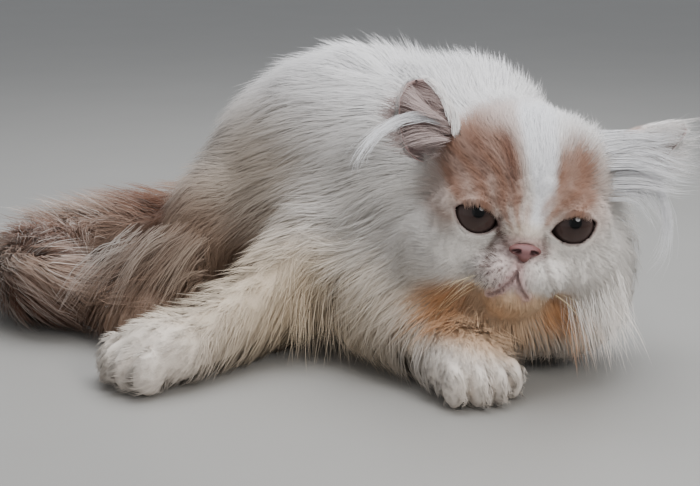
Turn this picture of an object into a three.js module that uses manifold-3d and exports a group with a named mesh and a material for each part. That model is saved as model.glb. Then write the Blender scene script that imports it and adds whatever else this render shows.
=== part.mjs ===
// A Persian cat lying on the floor, as a still, life-size display model.
// Millimetres, +Z up, floor at 0. The cat looks along -Y, its trunk runs back and to its right,
// and its tail lies curled beside its right hip. Its left side is at +X.
// Every part is a named solid: a core wrapped round its flesh, with the long coat fused to it as
// flat, tapered locks that lie along the body. The middle of the whole box stands over the origin.
import * as THREE from "three";
import { mergeVertices } from "three/addons/utils/BufferGeometryUtils.js";
import Module from "manifold-3d";

const wasm = await Module();
wasm.setup();

// Driving dimensions.
const GAP = 0.45; // between parts that touch
const FLATTEN = 0.3; // how far a face may shift where small triangles are merged
const HAIR = 0.02; // between two copies of one corner
const TRUNK_YAW = 41; // degrees from the way the cat looks to the line of its trunk
const HEAD_AT = [118, -82, 78]; // middle of the skull
const HEAD_YAW = 2;
const HEAD_ROLL = 7; // its left ear is the lower one
const EYE = { aside: 23, ahead: 25.5, up: 5, radius: 11 };
const LID_THICK = 1.2;
const LID_OPENING = { inner: 10.8, outer: 10.8, above: 5.8, below: 7.2, slant: 16 };
const FLOOR_REST = 2.5; // height of a lock's middle where it lies on the floor
const LOCK_STEPS = 3;
const ROOT_DEPTH = 5;
const SEED = 7;

const vec = (p) => new THREE.Vector3(...p);
const radians = THREE.MathUtils.degToRad;

// A turn about Z, then a roll about the new Y.
function turn(yaw, roll = 0) {
  const about = (axis, degrees) => new THREE.Matrix4().makeRotationAxis(vec(axis), radians(degrees));
  return about([0, 0, 1], yaw).multiply(about([0, 1, 0], roll));
}
const TRUNK_TURN = turn(TRUNK_YAW);
const HEAD_TURN = turn(HEAD_YAW, HEAD_ROLL);

// A point given from the middle of the skull: to the cat's left, backwards, and up.
const onHead = (left, back, up) => vec([left, back, up]).applyMatrix4(HEAD_TURN).add(vec(HEAD_AT));
const headWay = (left, back, up) => vec([left, back, up]).applyMatrix4(HEAD_TURN).normalize();

// Distance fields. Each takes a point and gives about how far it lies outside the form.
function ball(at, radii, turned = new THREE.Matrix4()) {
  const centre = at.isVector3 ? at : vec(at);
  const inverse = turned.clone().transpose();
  const r = typeof radii === "number" ? vec([radii, radii, radii]) : vec(radii);
  return (p) => {
    const q = p.clone().sub(centre).applyMatrix4(inverse);
    const k0 = q.clone().divide(r).length();
    const k1 = q.clone().divide(r).divide(r).length();
    return (k0 * (k0 - 1)) / Math.max(k1, 1e-9);
  };
}

function limb(from, to, fromRadius, toRadius) {
  const a = vec(from);
  const along = vec(to).sub(a);
  return (p) => {
    const away = p.clone().sub(a);
    const share = THREE.MathUtils.clamp(away.dot(along) / along.lengthSq(), 0, 1);
    const radius = fromRadius + (toRadius - fromRadius) * share;
    return away.addScaledVector(along, -share).length() - radius;
  };
}

// Several fields as one, with their creases filled over a width of about k.
function join(k, fields) {
  return (p) =>
    Object.values(fields)
      .map((field) => field(p))
      .reduce((a, b) => {
        const h = Math.max(k - Math.abs(a - b), 0) / k;
        return Math.min(a, b) - (h * h * k) / 4;
      });
}

function outward(field, p) {
  const reach = 0.5;
  const slope = (axis) =>
    field(p.clone().addScaledVector(axis, reach)) - field(p.clone().addScaledVector(axis, -reach));
  return vec([slope(vec([1, 0, 0])), slope(vec([0, 1, 0])), slope(vec([0, 0, 1]))]).normalize();
}

// The cores of the body.
const torsoField = join(30, {
  chest: ball([80, -10, 72], [52, 54, 60], TRUNK_TURN),
  ribs: ball([48, 44, 77], [60, 66, 68], TRUNK_TURN),
  loin: ball([19, 87, 68], [54, 57, 60], TRUNK_TURN),
  rump: ball([4, 112, 52], [48, 43, 46], TRUNK_TURN),
  belly: ball([40, 50, 38], [70, 86, 42], TRUNK_TURN),
});
const neckField = join(20, {
  nape: limb([98, 2, 98], [112, -50, 88], 44, 40),
  collar: ball(onHead(-1, 26, -16), [61, 31, 54], HEAD_TURN),
  right: ball(onHead(-27, 7, -38), [28, 22, 26], HEAD_TURN),
  left: ball(onHead(30, 7, -33), [28, 22, 28], HEAD_TURN),
  bib: ball(onHead(0, -2, -45), [32, 20, 17], HEAD_TURN),
});
const headField = join(10, {
  skull: ball(onHead(0, 6, 13), [43, 42, 39], HEAD_TURN),
  rightCheek: ball(onHead(-27, -6, -14), [25, 27, 24], HEAD_TURN),
  leftCheek: ball(onHead(27, -6, -14), [25, 27, 24], HEAD_TURN),
  rightPad: ball(onHead(-10, -36, -19), [13, 11, 10], HEAD_TURN),
  leftPad: ball(onHead(10, -36, -19), [13, 11, 10], HEAD_TURN),
  chin: ball(onHead(0, -30, -31), [14, 12, 9], HEAD_TURN),
  bridge: ball(onHead(0, -34, -2), [9, 9, 10], HEAD_TURN),
  rightOrbit: ball(onHead(-24, -24, 5), [18, 10, 15], HEAD_TURN),
  leftOrbit: ball(onHead(24, -24, 5), [18, 10, 15], HEAD_TURN),
});
const LEGS = {
  foreleg_right: {
    field: join(14, {
      shoulder: limb([34, -10, 52], [10, -38, 32], 34, 24),
      forearm: limb([10, -38, 32], [-30, -82, 19], 24, 18),
    }),
    spine: [[34, -10, 50], [10, -38, 30], [-30, -82, 19]],
  },
  foreleg_left: {
    field: join(14, {
      shoulder: limb([78, -34, 46], [52, -62, 28], 30, 21),
      forearm: limb([52, -62, 28], [80, -100, 18], 21, 16),
    }),
    spine: [[78, -34, 46], [54, -62, 28], [80, -100, 18]],
  },
  hindleg_right: {
    field: join(16, {
      thigh: ball([-30, 72, 38], [38, 50, 36], turn(20)),
      shank: limb([-52, 40, 20], [-64, -4, 15], 20, 15),
    }),
    spine: [[-24, 92, 34], [-36, 62, 34], [-56, 30, 19], [-64, -4, 15]],
  },
  hindleg_left: {
    field: join(16, {
      thigh: ball([62, 132, 44], [40, 46, 40], turn(TRUNK_YAW)),
      shank: limb([96, 104, 20], [118, 62, 14], 20, 14),
    }),
    spine: [[54, 144, 40], [72, 124, 38], [98, 100, 19], [118, 62, 14]],
  },
};
const PAWS = {
  forepaw_right: { at: [-52, -97, 15], size: [24, 30, 17], yaw: 125 },
  forepaw_left: { at: [93, -116, 14], size: [22, 27, 16], yaw: -155 },
  hindpaw_right: { at: [-72, -26, 14], size: [18, 26, 15], yaw: 170 },
  hindpaw_left: { at: [124, 44, 14], size: [18, 25, 15], yaw: 205 },
};
const TAIL_LINE = [
  [-38, 126, 34],
  [-92, 116, 26],
  [-134, 80, 25],
  [-146, 30, 25],
  [-130, -8, 24],
  [-100, -24, 22],
];
const TAIL_RADII = [17, 17, 18, 18, 16, 10];
const TAIL_NAMES = ["tail_base", "tail_middle", "tail_tip"];

// A part of the tail, from one share of its line to another.
const tailCurve = new THREE.CatmullRomCurve3(TAIL_LINE.map(vec));
function tailPart(from, to) {
  const at = [0, 1, 2, 3].map((k) => from + ((to - from) * k) / 3);
  const points = at.map((t) => tailCurve.getPoint(t));
  const radii = at.map((t) => {
    const place = t * (TAIL_RADII.length - 1);
    const low = Math.min(Math.floor(place), TAIL_RADII.length - 2);
    return THREE.MathUtils.lerp(TAIL_RADII[low], TAIL_RADII[low + 1], place - low);
  });
  const ends = points.map((p) => p.toArray());
  const pieces = [0, 1, 2].map((k) => limb(ends[k], ends[k + 1], radii[k], radii[k + 1]));
  return { field: join(8, pieces), spine: ends };
}
const TAILS = TAIL_NAMES.map((name, k) => tailPart(k / 3, (k + 1) / 3));

// Moves out from a point along a way until the field is as large as grow.
function reachOut(field, origin, way, grow) {
  let distance = 0;
  const steps = 60;
  for (let k = 0; k < steps; k++) {
    const short = grow - field(origin.clone().addScaledVector(way, distance));
    if (Math.abs(short) < 1e-3) break;
    distance += short * 0.8;
  }
  return origin.clone().addScaledVector(way, distance);
}

// A place on the skin of a form drawn out along its spine: share runs from one pole to the other, and
// round is the angle about the spine. The first and last stretch are round ends.
const END_SHARE = 0.25;
function placeOn(form, share, round, grow = 0) {
  form.line ??= new THREE.CatmullRomCurve3(form.spine.map((p) => (p.isVector3 ? p : vec(p))));
  const line = form.line;
  const t = THREE.MathUtils.clamp((share - END_SHARE) / (1 - 2 * END_SHARE), 0, 1);
  const along = line.getTangent(t);
  const side = along.clone().cross(vec([0, 0, 1])).normalize();
  const up = side.clone().cross(along);
  const lean = Math.max(1 - share / END_SHARE, 0) - Math.max(1 - (1 - share) / END_SHARE, 0);
  const tilt = (lean * Math.PI) / 2;
  const way = side.multiplyScalar(Math.cos(round)).addScaledVector(up, Math.sin(round));
  way.multiplyScalar(Math.cos(tilt)).addScaledVector(along, -Math.sin(tilt));
  return reachOut(form.field, line.getPoint(t), way, grow);
}

// A closed geometry as a solid, with its faces turned out. Faces that have shrunk to a line are
// dropped, and so are two faces back to back on the same three corners.
function solid(geometry) {
  for (const name of ["normal", "uv"]) geometry.deleteAttribute(name);
  const merged = mergeVertices(geometry, 1e-4);
  const points = merged.attributes.position.array;
  const corners = Array.from(merged.index.array);
  const facesOn = new Map();
  const nameOf = (a, b, c) => (a < b && a < c ? [a, b, c] : b < c ? [b, c, a] : [c, a, b]).join();
  for (let k = 0; k < corners.length; k += 3) {
    const [a, b, c] = corners.slice(k, k + 3);
    if (a === b || b === c || a === c) continue;
    const back = facesOn.get(nameOf(a, c, b));
    if (back?.length) back.pop();
    else facesOn.set(nameOf(a, b, c), [...(facesOn.get(nameOf(a, b, c)) ?? []), [a, b, c]]);
  }
  const faces = Array.from(facesOn.values()).flat();
  const corner = (k) => vec(points.slice(3 * k, 3 * k + 3));
  const volume = faces.reduce((sum, [a, b, c]) => sum + corner(a).dot(corner(b).cross(corner(c))), 0);
  const triVerts = new Uint32Array(faces.flatMap(([a, b, c]) => (volume < 0 ? [a, c, b] : [a, b, c])));
  return new wasm.Manifold(new wasm.Mesh({ numProp: 3, vertProperties: points, triVerts }));
}

// Moves each vertex of a geometry by a function of its own place.
function moved(geometry, move) {
  const place = geometry.attributes.position;
  for (let k = 0; k < place.count; k++) {
    const p = move(new THREE.Vector3().fromBufferAttribute(place, k));
    place.setXYZ(k, p.x, p.y, p.z);
  }
  return geometry;
}

// A form's core: a sphere whose vertices are moved out to its skin.
function core(form, around, rows, grow = 0) {
  return solid(
    moved(new THREE.SphereGeometry(1, around, rows), (v) =>
      placeOn(form, Math.acos(THREE.MathUtils.clamp(v.y, -1, 1)) / Math.PI, Math.atan2(v.z, v.x), grow),
    ),
  );
}

function egg(at, radii, turned = new THREE.Matrix4(), around = 16, rows = 10) {
  const centre = at.isVector3 ? at : vec(at);
  const toPlace = (v) => v.multiply(vec(radii)).applyMatrix4(turned).add(centre);
  return solid(moved(new THREE.SphereGeometry(1, around, rows), toPlace));
}

// A round rod along a smooth line through the points.
function rod(points, radius, sides = 6, steps = 7) {
  const section = new THREE.Shape().absarc(0, 0, radius, 0, 2 * Math.PI);
  const extrudePath = new THREE.CatmullRomCurve3(points);
  return solid(
    new THREE.ExtrudeGeometry(section, { steps, curveSegments: sides / 2, bevelEnabled: false, extrudePath }),
  );
}

const fuse = (solids) => wasm.Manifold.union(solids);

// Seeded random numbers from 0 to 1.
function randomFrom(seed) {
  let state = seed;
  return () => {
    state = (Math.imul(state, 1664525) + 1013904223) >>> 0;
    return state / 2 ** 32;
  };
}

// The path of a lock: it leaves its root under the skin and runs along the lie of the coat over the
// whole body, rising to its tip.
function layLock(bodyField, root, lie, length, rise) {
  const path = [];
  let p = root.clone();
  for (let k = 0; k <= LOCK_STEPS; k++) {
    const share = k / LOCK_STEPS;
    const height = -ROOT_DEPTH + (rise + ROOT_DEPTH) * Math.pow(share, 0.8);
    let normal = outward(bodyField, p);
    for (let pass = 0; pass < 2; pass++) {
      p.addScaledVector(normal, height - bodyField(p));
      normal = outward(bodyField, p);
    }
    p.z = Math.max(p.z, FLOOR_REST);
    path.push({ at: p.clone(), normal });
    const way = lie(p).clone();
    way.addScaledVector(normal, -way.dot(normal)).normalize();
    p = p.clone().addScaledVector(way, length / LOCK_STEPS);
  }
  return path;
}

// A lock: a cone of four sides drawn along its path, broad and flat, and tapering to its tip.
function lock(path, width, thick, grow = 0) {
  const line = path.map((step) => step.at);
  const shape = new THREE.ConeGeometry(1, 1, 4, LOCK_STEPS);
  return solid(
    moved(shape, (v) => {
      const share = v.y + 0.5;
      const k = Math.round(share * LOCK_STEPS);
      const ring = 1 - share;
      const [across, over] = ring > 1e-6 ? [v.x / ring, v.z / ring] : [0, 0];
      const before = line[Math.max(k - 1, 0)];
      const after = line[Math.min(k + 1, LOCK_STEPS)];
      const along = after.clone().sub(before).normalize();
      const side = along.clone().cross(path[k].normal).normalize();
      const up = side.clone().cross(along);
      const taper = Math.sin(Math.PI * (0.28 + 0.72 * share));
      const reach = k === LOCK_STEPS ? 4 * grow : 0;
      return line[k]
        .clone()
        .addScaledVector(side, across * ((width / 2) * taper + 2 * grow))
        .addScaledVector(up, over * ((thick / 2) * taper + 2 * grow))
        .addScaledVector(along, reach);
    }),
  );
}

// The lie of the coat, as the way that it runs at a point.
const TRUNK_BACK = vec([0, 1, 0]).applyMatrix4(TRUNK_TURN);
const lieOfTrunk = () => TRUNK_BACK.clone().add(vec([0, 0, -0.75]));
function lieOfCollar(p) {
  const away = p.clone().sub(onHead(0, 0, 6)).normalize();
  return away.add(headWay(0, 1, 0).multiplyScalar(0.55)).add(vec([0, 0, -0.45]));
}
const lieOfLeg = (form) => {
  const spine = form.spine.map(vec);
  const down = spine.at(-1).clone().sub(spine[0]).normalize();
  return () => down.clone().add(vec([0, 0, -0.45]));
};
function lieOfTail(p) {
  let best = 0;
  const tries = 40;
  for (let k = 1; k <= tries; k++)
    if (tailCurve.getPoint(k / tries).distanceTo(p) < tailCurve.getPoint(best).distanceTo(p))
      best = k / tries;
  const out = p.clone().sub(tailCurve.getPoint(best)).normalize();
  return tailCurve.getTangent(best).addScaledVector(out, 0.2).add(vec([0, 0, -0.2]));
}

// Every part with a core: its form, how finely it is drawn, and its coat.
const coat = (rows, columns, length, width, thick, rise, limits) => ({
  rows, // along the spine
  columns, // round it
  length,
  width,
  thick,
  rise, // of the tip over the skin
  ...limits, // shares of the spine, the room kept to other parts, and the least height of a root
});
const FUR = {
  trunk: coat(6, 7, 70, 42, 8, 12, { from: 0.08, to: 0.95, clear: 7, low: 26 }),
  collar: coat(5, 9, 52, 27, 7, 15, { from: 0.08, to: 0.9, clear: 2, low: 16 }),
  leg: coat(4, 5, 34, 20, 5, 7, { from: 0.08, to: 0.8, clear: 4, low: 12 }),
  tail: coat(3, 6, 42, 22, 7, 14, { from: 0.24, to: 0.74, clear: 3, low: 8 }),
};
const forms = {
  neck: {
    field: neckField,
    spine: [onHead(0, 44, 4), onHead(-2, 16, -14)],
    around: 16,
    rowsOfCore: 12,
    fur: { ...FUR.collar, lie: lieOfCollar },
  },
  torso: {
    field: torsoField,
    spine: [[72, 2, 66], [45, 48, 70], [14, 94, 60]],
    around: 18,
    rowsOfCore: 13,
    fur: { ...FUR.trunk, lie: lieOfTrunk },
  },
};
for (const [name, form] of Object.entries(LEGS))
  forms[name] = { ...form, around: 12, rowsOfCore: 11, fur: { ...FUR.leg, lie: lieOfLeg(form) } };
TAIL_NAMES.forEach((name, k) => {
  forms[name] = { ...TAILS[k], around: 12, rowsOfCore: 9, fur: { ...FUR.tail, lie: lieOfTail } };
});
const pawField = ({ at, size, yaw }) => ball(at, size, turn(yaw));
const bodyField = join(10, [
  headField,
  ...Object.values(forms).map((form) => form.field),
  ...Object.values(PAWS).map(pawField),
]);

// Where a form's locks are rooted: staggered rows over its skin, clear of its neighbours.
function lockRoots(form, random) {
  const roots = [];
  const { rows, columns, from, to } = form.fur;
  for (let row = 0; row < rows; row++)
    for (let column = 0; column < columns; column++) {
      const share = from + ((to - from) * (row + 0.3 * random())) / (rows - 1);
      const round = (2 * Math.PI * (column + (row % 2) / 2 + 0.3 * random())) / columns;
      const root = placeOn(form, Math.min(share, 0.97), round);
      const others = [headField, ...Object.values(forms), ...Object.values(PAWS).map(pawField)]
        .filter((other) => other !== form)
        .map((other) => (other.field ?? other)(root));
      if (Math.min(...others) > form.fur.clear && root.z > form.fur.low) roots.push(root);
    }
  return roots;
}

function locksOf(form, grow) {
  const random = randomFrom(SEED);
  const { length, width, thick, rise, lie } = form.fur;
  return lockRoots(form, random).map((root) => {
    const size = 0.85 + 0.3 * random();
    const path = layLock(bodyField, root, lie, length * size, rise * (0.75 + 0.35 * random()));
    return lock(path, width * size, thick, grow);
  });
}

// A paw: a pad with four toes and, between them, the ends of the tufts.
function paw({ at, size, yaw }, grow = 0) {
  const turned = turn(yaw);
  const [halfWidth, halfLength, halfHeight] = size;
  const place = (across, ahead, up) => vec([across, ahead, up]).applyMatrix4(turned).add(vec(at));
  const palm = egg(at, [halfWidth + grow, halfLength * 0.86 + grow, halfHeight + grow], turned, 12, 8);
  const toes = [-1.5, -0.5, 0.5, 1.5].map((k) => {
    const ahead = halfLength * (0.76 - 0.07 * k * k);
    const toe = [halfWidth * 0.29, halfLength * 0.34, halfHeight * 0.72].map((r) => r + grow);
    return egg(place(k * halfWidth * 0.46, ahead, -halfHeight * 0.25), toe, turned, 7, 5);
  });
  return fuse([palm, ...toes]);
}

// The head: skull, cheeks and muzzle, with lids round the eyes, lips and the line of the mouth.
const headForm = { field: headField, spine: [onHead(0, 12, 4), onHead(0, -14, -6)] };
const onFace = (left, up, out = 0) =>
  reachOut(headField, onHead(left * 0.6, 0, up * 0.8), headWay(left * 0.4, -40, up * 0.2), out);
function eyeAt(sideways) {
  return onHead(sideways * EYE.aside, -EYE.ahead, EYE.up);
}
function lids(sideways, grow = 0) {
  const radius = EYE.radius + LID_THICK + GAP + grow;
  return egg(eyeAt(sideways), [radius, radius, radius], HEAD_TURN, 16, 10);
}
// The opening between the lids: two arcs that meet at the inner and outer corner.
function lidOpening(sideways) {
  const { inner, outer, above, below, slant } = LID_OPENING;
  const shape = new THREE.Shape();
  shape.moveTo(-inner, -1);
  shape.quadraticCurveTo(0, above * 2, outer, 0);
  shape.quadraticCurveTo(0, -below * 2, -inner, -1);
  const block = new THREE.ExtrudeGeometry(shape, { depth: 30, bevelEnabled: false, curveSegments: 7 });
  const toWorld = (v) => {
    const angle = radians(slant);
    const across = v.x * Math.cos(angle) - v.y * Math.sin(angle);
    const up = v.x * Math.sin(angle) + v.y * Math.cos(angle);
    return vec([sideways * (EYE.aside + across), -EYE.ahead - v.z, EYE.up + up])
      .applyMatrix4(HEAD_TURN)
      .add(vec(HEAD_AT));
  };
  return solid(moved(block, toWorld));
}
// The back of the skull belongs to the neck: the head ends in a flat there, and the neck starts behind it.
const SKULL_FLAT = 14;
const aheadOf = (shape, back) => {
  const way = headWay(0, -1, 0);
  return shape.trimByPlane(way.toArray(), way.dot(onHead(0, back, 0)));
};
const behind = (shape, back) => {
  const way = headWay(0, 1, 0);
  return shape.trimByPlane(way.toArray(), way.dot(onHead(0, back, 0)));
};
function headSolid() {
  const line = [
    [0, -16],
    [4, -21.5],
    [8.5, -27],
    [12.5, -31],
  ];
  const depthAt = (k) => (k < line.length - 1 ? -0.5 : -2.6);
  const mouth = (sideways) => line.map(([left, up], k) => onFace(sideways * left, up, depthAt(k)));
  const philtrum = [onFace(0, -8), onFace(0, -12), onFace(0, -17)];
  const skull = core(headForm, 28, 23);
  const lips = [rod(mouth(-1), 2.2), rod(mouth(1), 2.2)];
  const whole = fuse([skull, lids(-1), lids(1), ...lips]);
  const cuts = [
    ...[-1, 1].map((s) => lidOpening(s)),
    ...[-1, 1].map((s) => egg(eyeAt(s), [1, 1, 1].map((r) => r * (EYE.radius + GAP)), HEAD_TURN, 16, 10)),
    ...[-1, 1].map((s) => rod(mouth(s).map((p) => p.addScaledVector(headWay(0, -1, 0), 2)), 0.9)),
    rod(philtrum.map((p) => p.addScaledVector(headWay(0, -1, 0), 0.3)), 0.9),
    nose(GAP),
  ];
  return aheadOf(whole.subtract(fuse(cuts)), SKULL_FLAT);
}

// The nose leather: a small rounded wedge with two comma-shaped nostrils.
function nose(grow = 0) {
  const at = onFace(0, -6, -1.2);
  const leather = egg(at, [7 + grow, 3.4 + grow, 3.4 + grow], HEAD_TURN, 12, 8);
  const near = (left, back, up) => onHead(left, back, up).sub(vec(HEAD_AT)).add(at);
  const keel = egg(near(0, 0, -2.6), [3 + grow, 3 + grow, 3.2 + grow], HEAD_TURN, 9, 6);
  const whole = fuse([leather, keel]);
  if (grow) return whole;
  const nostrils = [-1, 1].map((s) => egg(near(s * 4, -3, -0.6), [1.7, 1.5, 0.9], HEAD_TURN, 7, 5));
  return whole.subtract(fuse(nostrils));
}

// An ear: a small cup with a rounded tip, open to the front, with its tuft of long hair.
const EARS = {
  ear_right: {
    root: [-42, 6, 26],
    way: [-0.42, -0.12, 0.9],
    front: [-0.35, -0.93, -0.1],
    height: 41,
    narrowing: 0.38,
    tufts: [
      [[-43, 10, 41], [-54, -3, 45], [-70, -6, 36], [-80, -6, 17]],
      [[-46, 11, 45], [-54, -2, 51], [-63, -5, 55], [-72, -6, 56]],
      [[-44, 11, 35], [-53, -3, 38], [-62, -6, 36], [-72, -6, 28]],
    ],
  },
  ear_left: {
    root: [43, 6, 27],
    way: [0.8, -0.08, 0.58],
    front: [0.15, -0.96, 0.05],
    height: 48,
    narrowing: 0.6,
    tufts: [
      [[54, 9, 34], [67, -3, 24], [75, -4, 2], [69, -4, -22]],
      [[58, 9, 38], [67, -3, 37], [76, -4, 34], [86, -4, 36]],
      [[56, 9, 31], [66, -3, 29], [75, -4, 27], [84, -4, 28]],
      [[66, 5, 44], [74, 2, 47], [80, 0, 51], [85, -1, 57]],
    ],
  },
};
function tuft(points, width, thick, grow) {
  const line = new THREE.CatmullRomCurve3(points.map((p) => onHead(...p)));
  const path = Array.from({ length: LOCK_STEPS + 1 }, (_, k) => ({
    at: line.getPoint(k / LOCK_STEPS),
    normal: headWay(0, -1, 0),
  }));
  return lock(path, width, thick, grow);
}
function ear({ root, way, front, height, narrowing, tufts }, grow = 0) {
  const tall = headWay(...way);
  const forward = headWay(...front);
  forward.addScaledVector(tall, -forward.dot(tall)).normalize();
  const side = tall.clone().cross(forward);
  const foot = onHead(...root);
  const shell = (halfWidth, halfDepth, tallness, ahead) =>
    solid(
      moved(new THREE.SphereGeometry(1, 14, 9), (v) => {
        const ring = Math.sqrt(Math.max(1 - v.y * v.y, 1e-12));
        const share = (v.y + 1) / 2;
        const swell = Math.pow(ring, 0.7) * (1 - narrowing * share);
        return foot
          .clone()
          .addScaledVector(tall, share * tallness - 4)
          .addScaledVector(side, (v.x / ring) * halfWidth * swell)
          .addScaledVector(forward, (v.z / ring) * halfDepth * swell + ahead - 5 * share * share);
      }),
    );
  const outer = shell(17 + grow, 9 + grow, height + grow, 0);
  const hair = tufts.map((points) => tuft(points, 11, 3, grow));
  if (grow) return fuse([outer, ...hair]);
  return fuse([outer.subtract(shell(14.5, 8.4, height - 5, 4.6)), ...hair]);
}

// Puts the parts together: each is cut clear of those before it, trimmed to the floor, and kept as
// its largest closed body.
const COLOURS = {
  white: [0.83, 0.8, 0.76],
  cream: [0.8, 0.72, 0.63],
  red: [0.62, 0.45, 0.36],
  pink: [0.66, 0.42, 0.4],
  eye: [0.12, 0.07, 0.05],
};
const largest = (shape) => shape.decompose().sort((a, b) => b.volume() - a.volume())[0];
function surfaceOf(shape) {
  const { vertProperties, triVerts } = shape.getMesh();
  const geometry = new THREE.BufferGeometry();
  geometry.setAttribute("position", new THREE.BufferAttribute(new Float32Array(vertProperties), 3));
  geometry.setIndex(new THREE.BufferAttribute(new Uint32Array(triVerts), 1));
  return mergeVertices(geometry, 2e-3);
}
// A surface whose copies of one corner, where it meets itself in an edge, are drawn a hair apart: each
// moves towards its own neighbours.
function parted(shape) {
  const { vertProperties, triVerts } = shape.getMesh();
  const count = vertProperties.length / 3;
  const corners = Array.from({ length: count }, (_, k) => vec(vertProperties.slice(3 * k, 3 * k + 3)));
  const pulls = corners.map(() => new THREE.Vector3());
  triVerts.forEach((a, k) => {
    const first = k - (k % 3);
    for (const b of triVerts.slice(first, first + 3)) pulls[a].add(corners[b]).sub(corners[a]);
  });
  const copies = new Map();
  const key = (p) => p.toArray().join();
  for (const p of corners) copies.set(key(p), (copies.get(key(p)) ?? 0) + 1);
  const places = corners.map((p, k) =>
    copies.get(key(p)) > 1 ? p.clone().addScaledVector(pulls[k].normalize(), HAIR) : p,
  );
  const geometry = new THREE.BufferGeometry().setFromPoints(places);
  return geometry.setIndex(new THREE.BufferAttribute(new Uint32Array(triVerts), 1));
}
const cat = new THREE.Group();
let taken = [];
function place(name, whole, grown, colour, roughness = 0.9) {
  const clear = taken.length ? whole.subtract(fuse(taken)) : whole;
  let kept = largest(clear.trimByPlane([0, 0, 1], 0).simplify(FLATTEN));
  for (let pass = 0; pass < 3; pass++) kept = largest(solid(surfaceOf(kept)));
  const geometry = parted(kept);
  geometry.computeVertexNormals();
  const color = new THREE.Color(...COLOURS[colour]);
  const material = new THREE.MeshStandardMaterial({ color, roughness, metalness: 0 });
  const mesh = new THREE.Mesh(geometry, material);
  mesh.name = name;
  cat.add(mesh);
  taken.push(...grown);
}

for (const [name, sideways] of [["eye_right", -1], ["eye_left", 1]]) {
  const ball = (r) => egg(eyeAt(sideways), [r, r, r], HEAD_TURN, 12, 9);
  place(name, ball(EYE.radius), [], "eye", 0.1);
}
place("nose", nose(), [], "pink", 0.5);
const skullGrown = aheadOf(core(headForm, 28, 23, GAP), SKULL_FLAT + GAP);
place("head", headSolid(), [skullGrown, lids(-1, GAP), lids(1, GAP)], "cream");
for (const [name, shape] of Object.entries(EARS)) place(name, ear(shape), [ear(shape, GAP)], "cream");
for (const [name, shape] of Object.entries(PAWS)) place(name, paw(shape), [paw(shape, GAP)], "white");
for (const name of ["neck", ...Object.keys(LEGS), "torso", ...TAIL_NAMES]) {
  const form = forms[name];
  const skullBack = name === "neck" ? [behind(core(headForm, 20, 16), SKULL_FLAT + GAP)] : [];
  const whole = fuse([core(form, form.around, form.rowsOfCore, 0), ...skullBack, ...locksOf(form, 0)]);
  const grown = [core(form, form.around, form.rowsOfCore, GAP), ...locksOf(form, GAP)];
  place(name, whole, grown, name.startsWith("tail") ? "red" : "white");
}

const box = new THREE.Box3().setFromObject(cat);
cat.position.set(-(box.min.x + box.max.x) / 2, -(box.min.y + box.max.y) / 2, 0);

export default cat;
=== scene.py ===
"""A long-haired, flat-faced cat lying on the floor, life size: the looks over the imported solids.

Shapes are worked out in millimetres in the cat's own frame, where the skull, trunk and legs have the same
named places as in the solids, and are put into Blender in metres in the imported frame.
"""

import math

import bpy
import numpy as np
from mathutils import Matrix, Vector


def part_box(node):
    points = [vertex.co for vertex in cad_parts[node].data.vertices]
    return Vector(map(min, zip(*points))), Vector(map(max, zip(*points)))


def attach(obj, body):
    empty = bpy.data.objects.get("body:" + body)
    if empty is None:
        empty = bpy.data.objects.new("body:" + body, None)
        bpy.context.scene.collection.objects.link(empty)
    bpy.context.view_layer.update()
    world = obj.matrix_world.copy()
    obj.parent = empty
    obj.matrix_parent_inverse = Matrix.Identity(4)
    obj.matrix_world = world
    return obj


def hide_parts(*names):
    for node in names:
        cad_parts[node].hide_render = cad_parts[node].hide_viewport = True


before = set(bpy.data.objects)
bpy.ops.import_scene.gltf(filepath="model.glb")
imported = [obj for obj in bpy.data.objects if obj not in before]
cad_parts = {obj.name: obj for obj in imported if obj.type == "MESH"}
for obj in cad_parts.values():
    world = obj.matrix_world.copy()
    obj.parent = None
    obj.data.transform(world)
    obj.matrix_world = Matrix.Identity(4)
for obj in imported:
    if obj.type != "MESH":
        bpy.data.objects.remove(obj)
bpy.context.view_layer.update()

# The floor, the lights and the camera. The camera stands low in front of the cat and looks down on it
# a little, and the light falls softly from above, in front and from the cat's left.
HEAD_AT = np.array([118.0, -82.0, 78.0])
SIDES = (-1, 1)  # the cat's right and its left


def turn(yaw, roll=0.0):
    """The axes of a thing that is rolled about its own Y and then turned about Z, in degrees, as columns."""
    y, r = math.radians(yaw), math.radians(roll)
    about_z = np.array([[math.cos(y), -math.sin(y), 0], [math.sin(y), math.cos(y), 0], [0, 0, 1]])
    about_y = np.array([[math.cos(r), 0, math.sin(r)], [0, 1, 0], [-math.sin(r), 0, math.cos(r)]])
    return about_z @ about_y


HEAD_TURN = turn(2, 7)


def on_head(left, back, up, start=HEAD_AT):
    """A place given along the head's own axes, from the middle of the skull or from another start."""
    return start + HEAD_TURN @ np.array([left, back, up], float)


EYES = {side: on_head(side * 23.0, -25.5, 5.0) for side in SIDES}
eye_low, eye_high = np.array(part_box("eye_right")) * 1000
SHIFT = (eye_low + eye_high) / 2 - EYES[-1]
SHIFT[2] = 0


def packed(points):
    """Millimetres in the cat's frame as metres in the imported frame."""
    return (np.asarray(points) + SHIFT) / 1000


def aim(thing, at):
    """Turns a lamp to look at a place."""
    way = packed(at) - np.array(thing.location)
    flat = math.hypot(way[0], way[1])
    thing.rotation_euler = (math.atan2(flat, -way[2]), 0, math.atan2(way[1], way[0]) - math.pi / 2)


SENSOR = 36
CAMERA_TILT = 14
camera_data = bpy.data.cameras.new("camera")
camera_data.sensor_width = SENSOR
camera_data.lens = SENSOR * 1500 / 700  # the frame is 700 pixels wide, seen as if from 1500 pixels away
camera = bpy.data.objects.new("camera", camera_data)
camera.location = packed((38, -795, 242.7))
camera.rotation_euler = (math.radians(90 - CAMERA_TILT), 0, 0)
bpy.context.scene.collection.objects.link(camera)
bpy.context.scene.camera = camera

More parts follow.
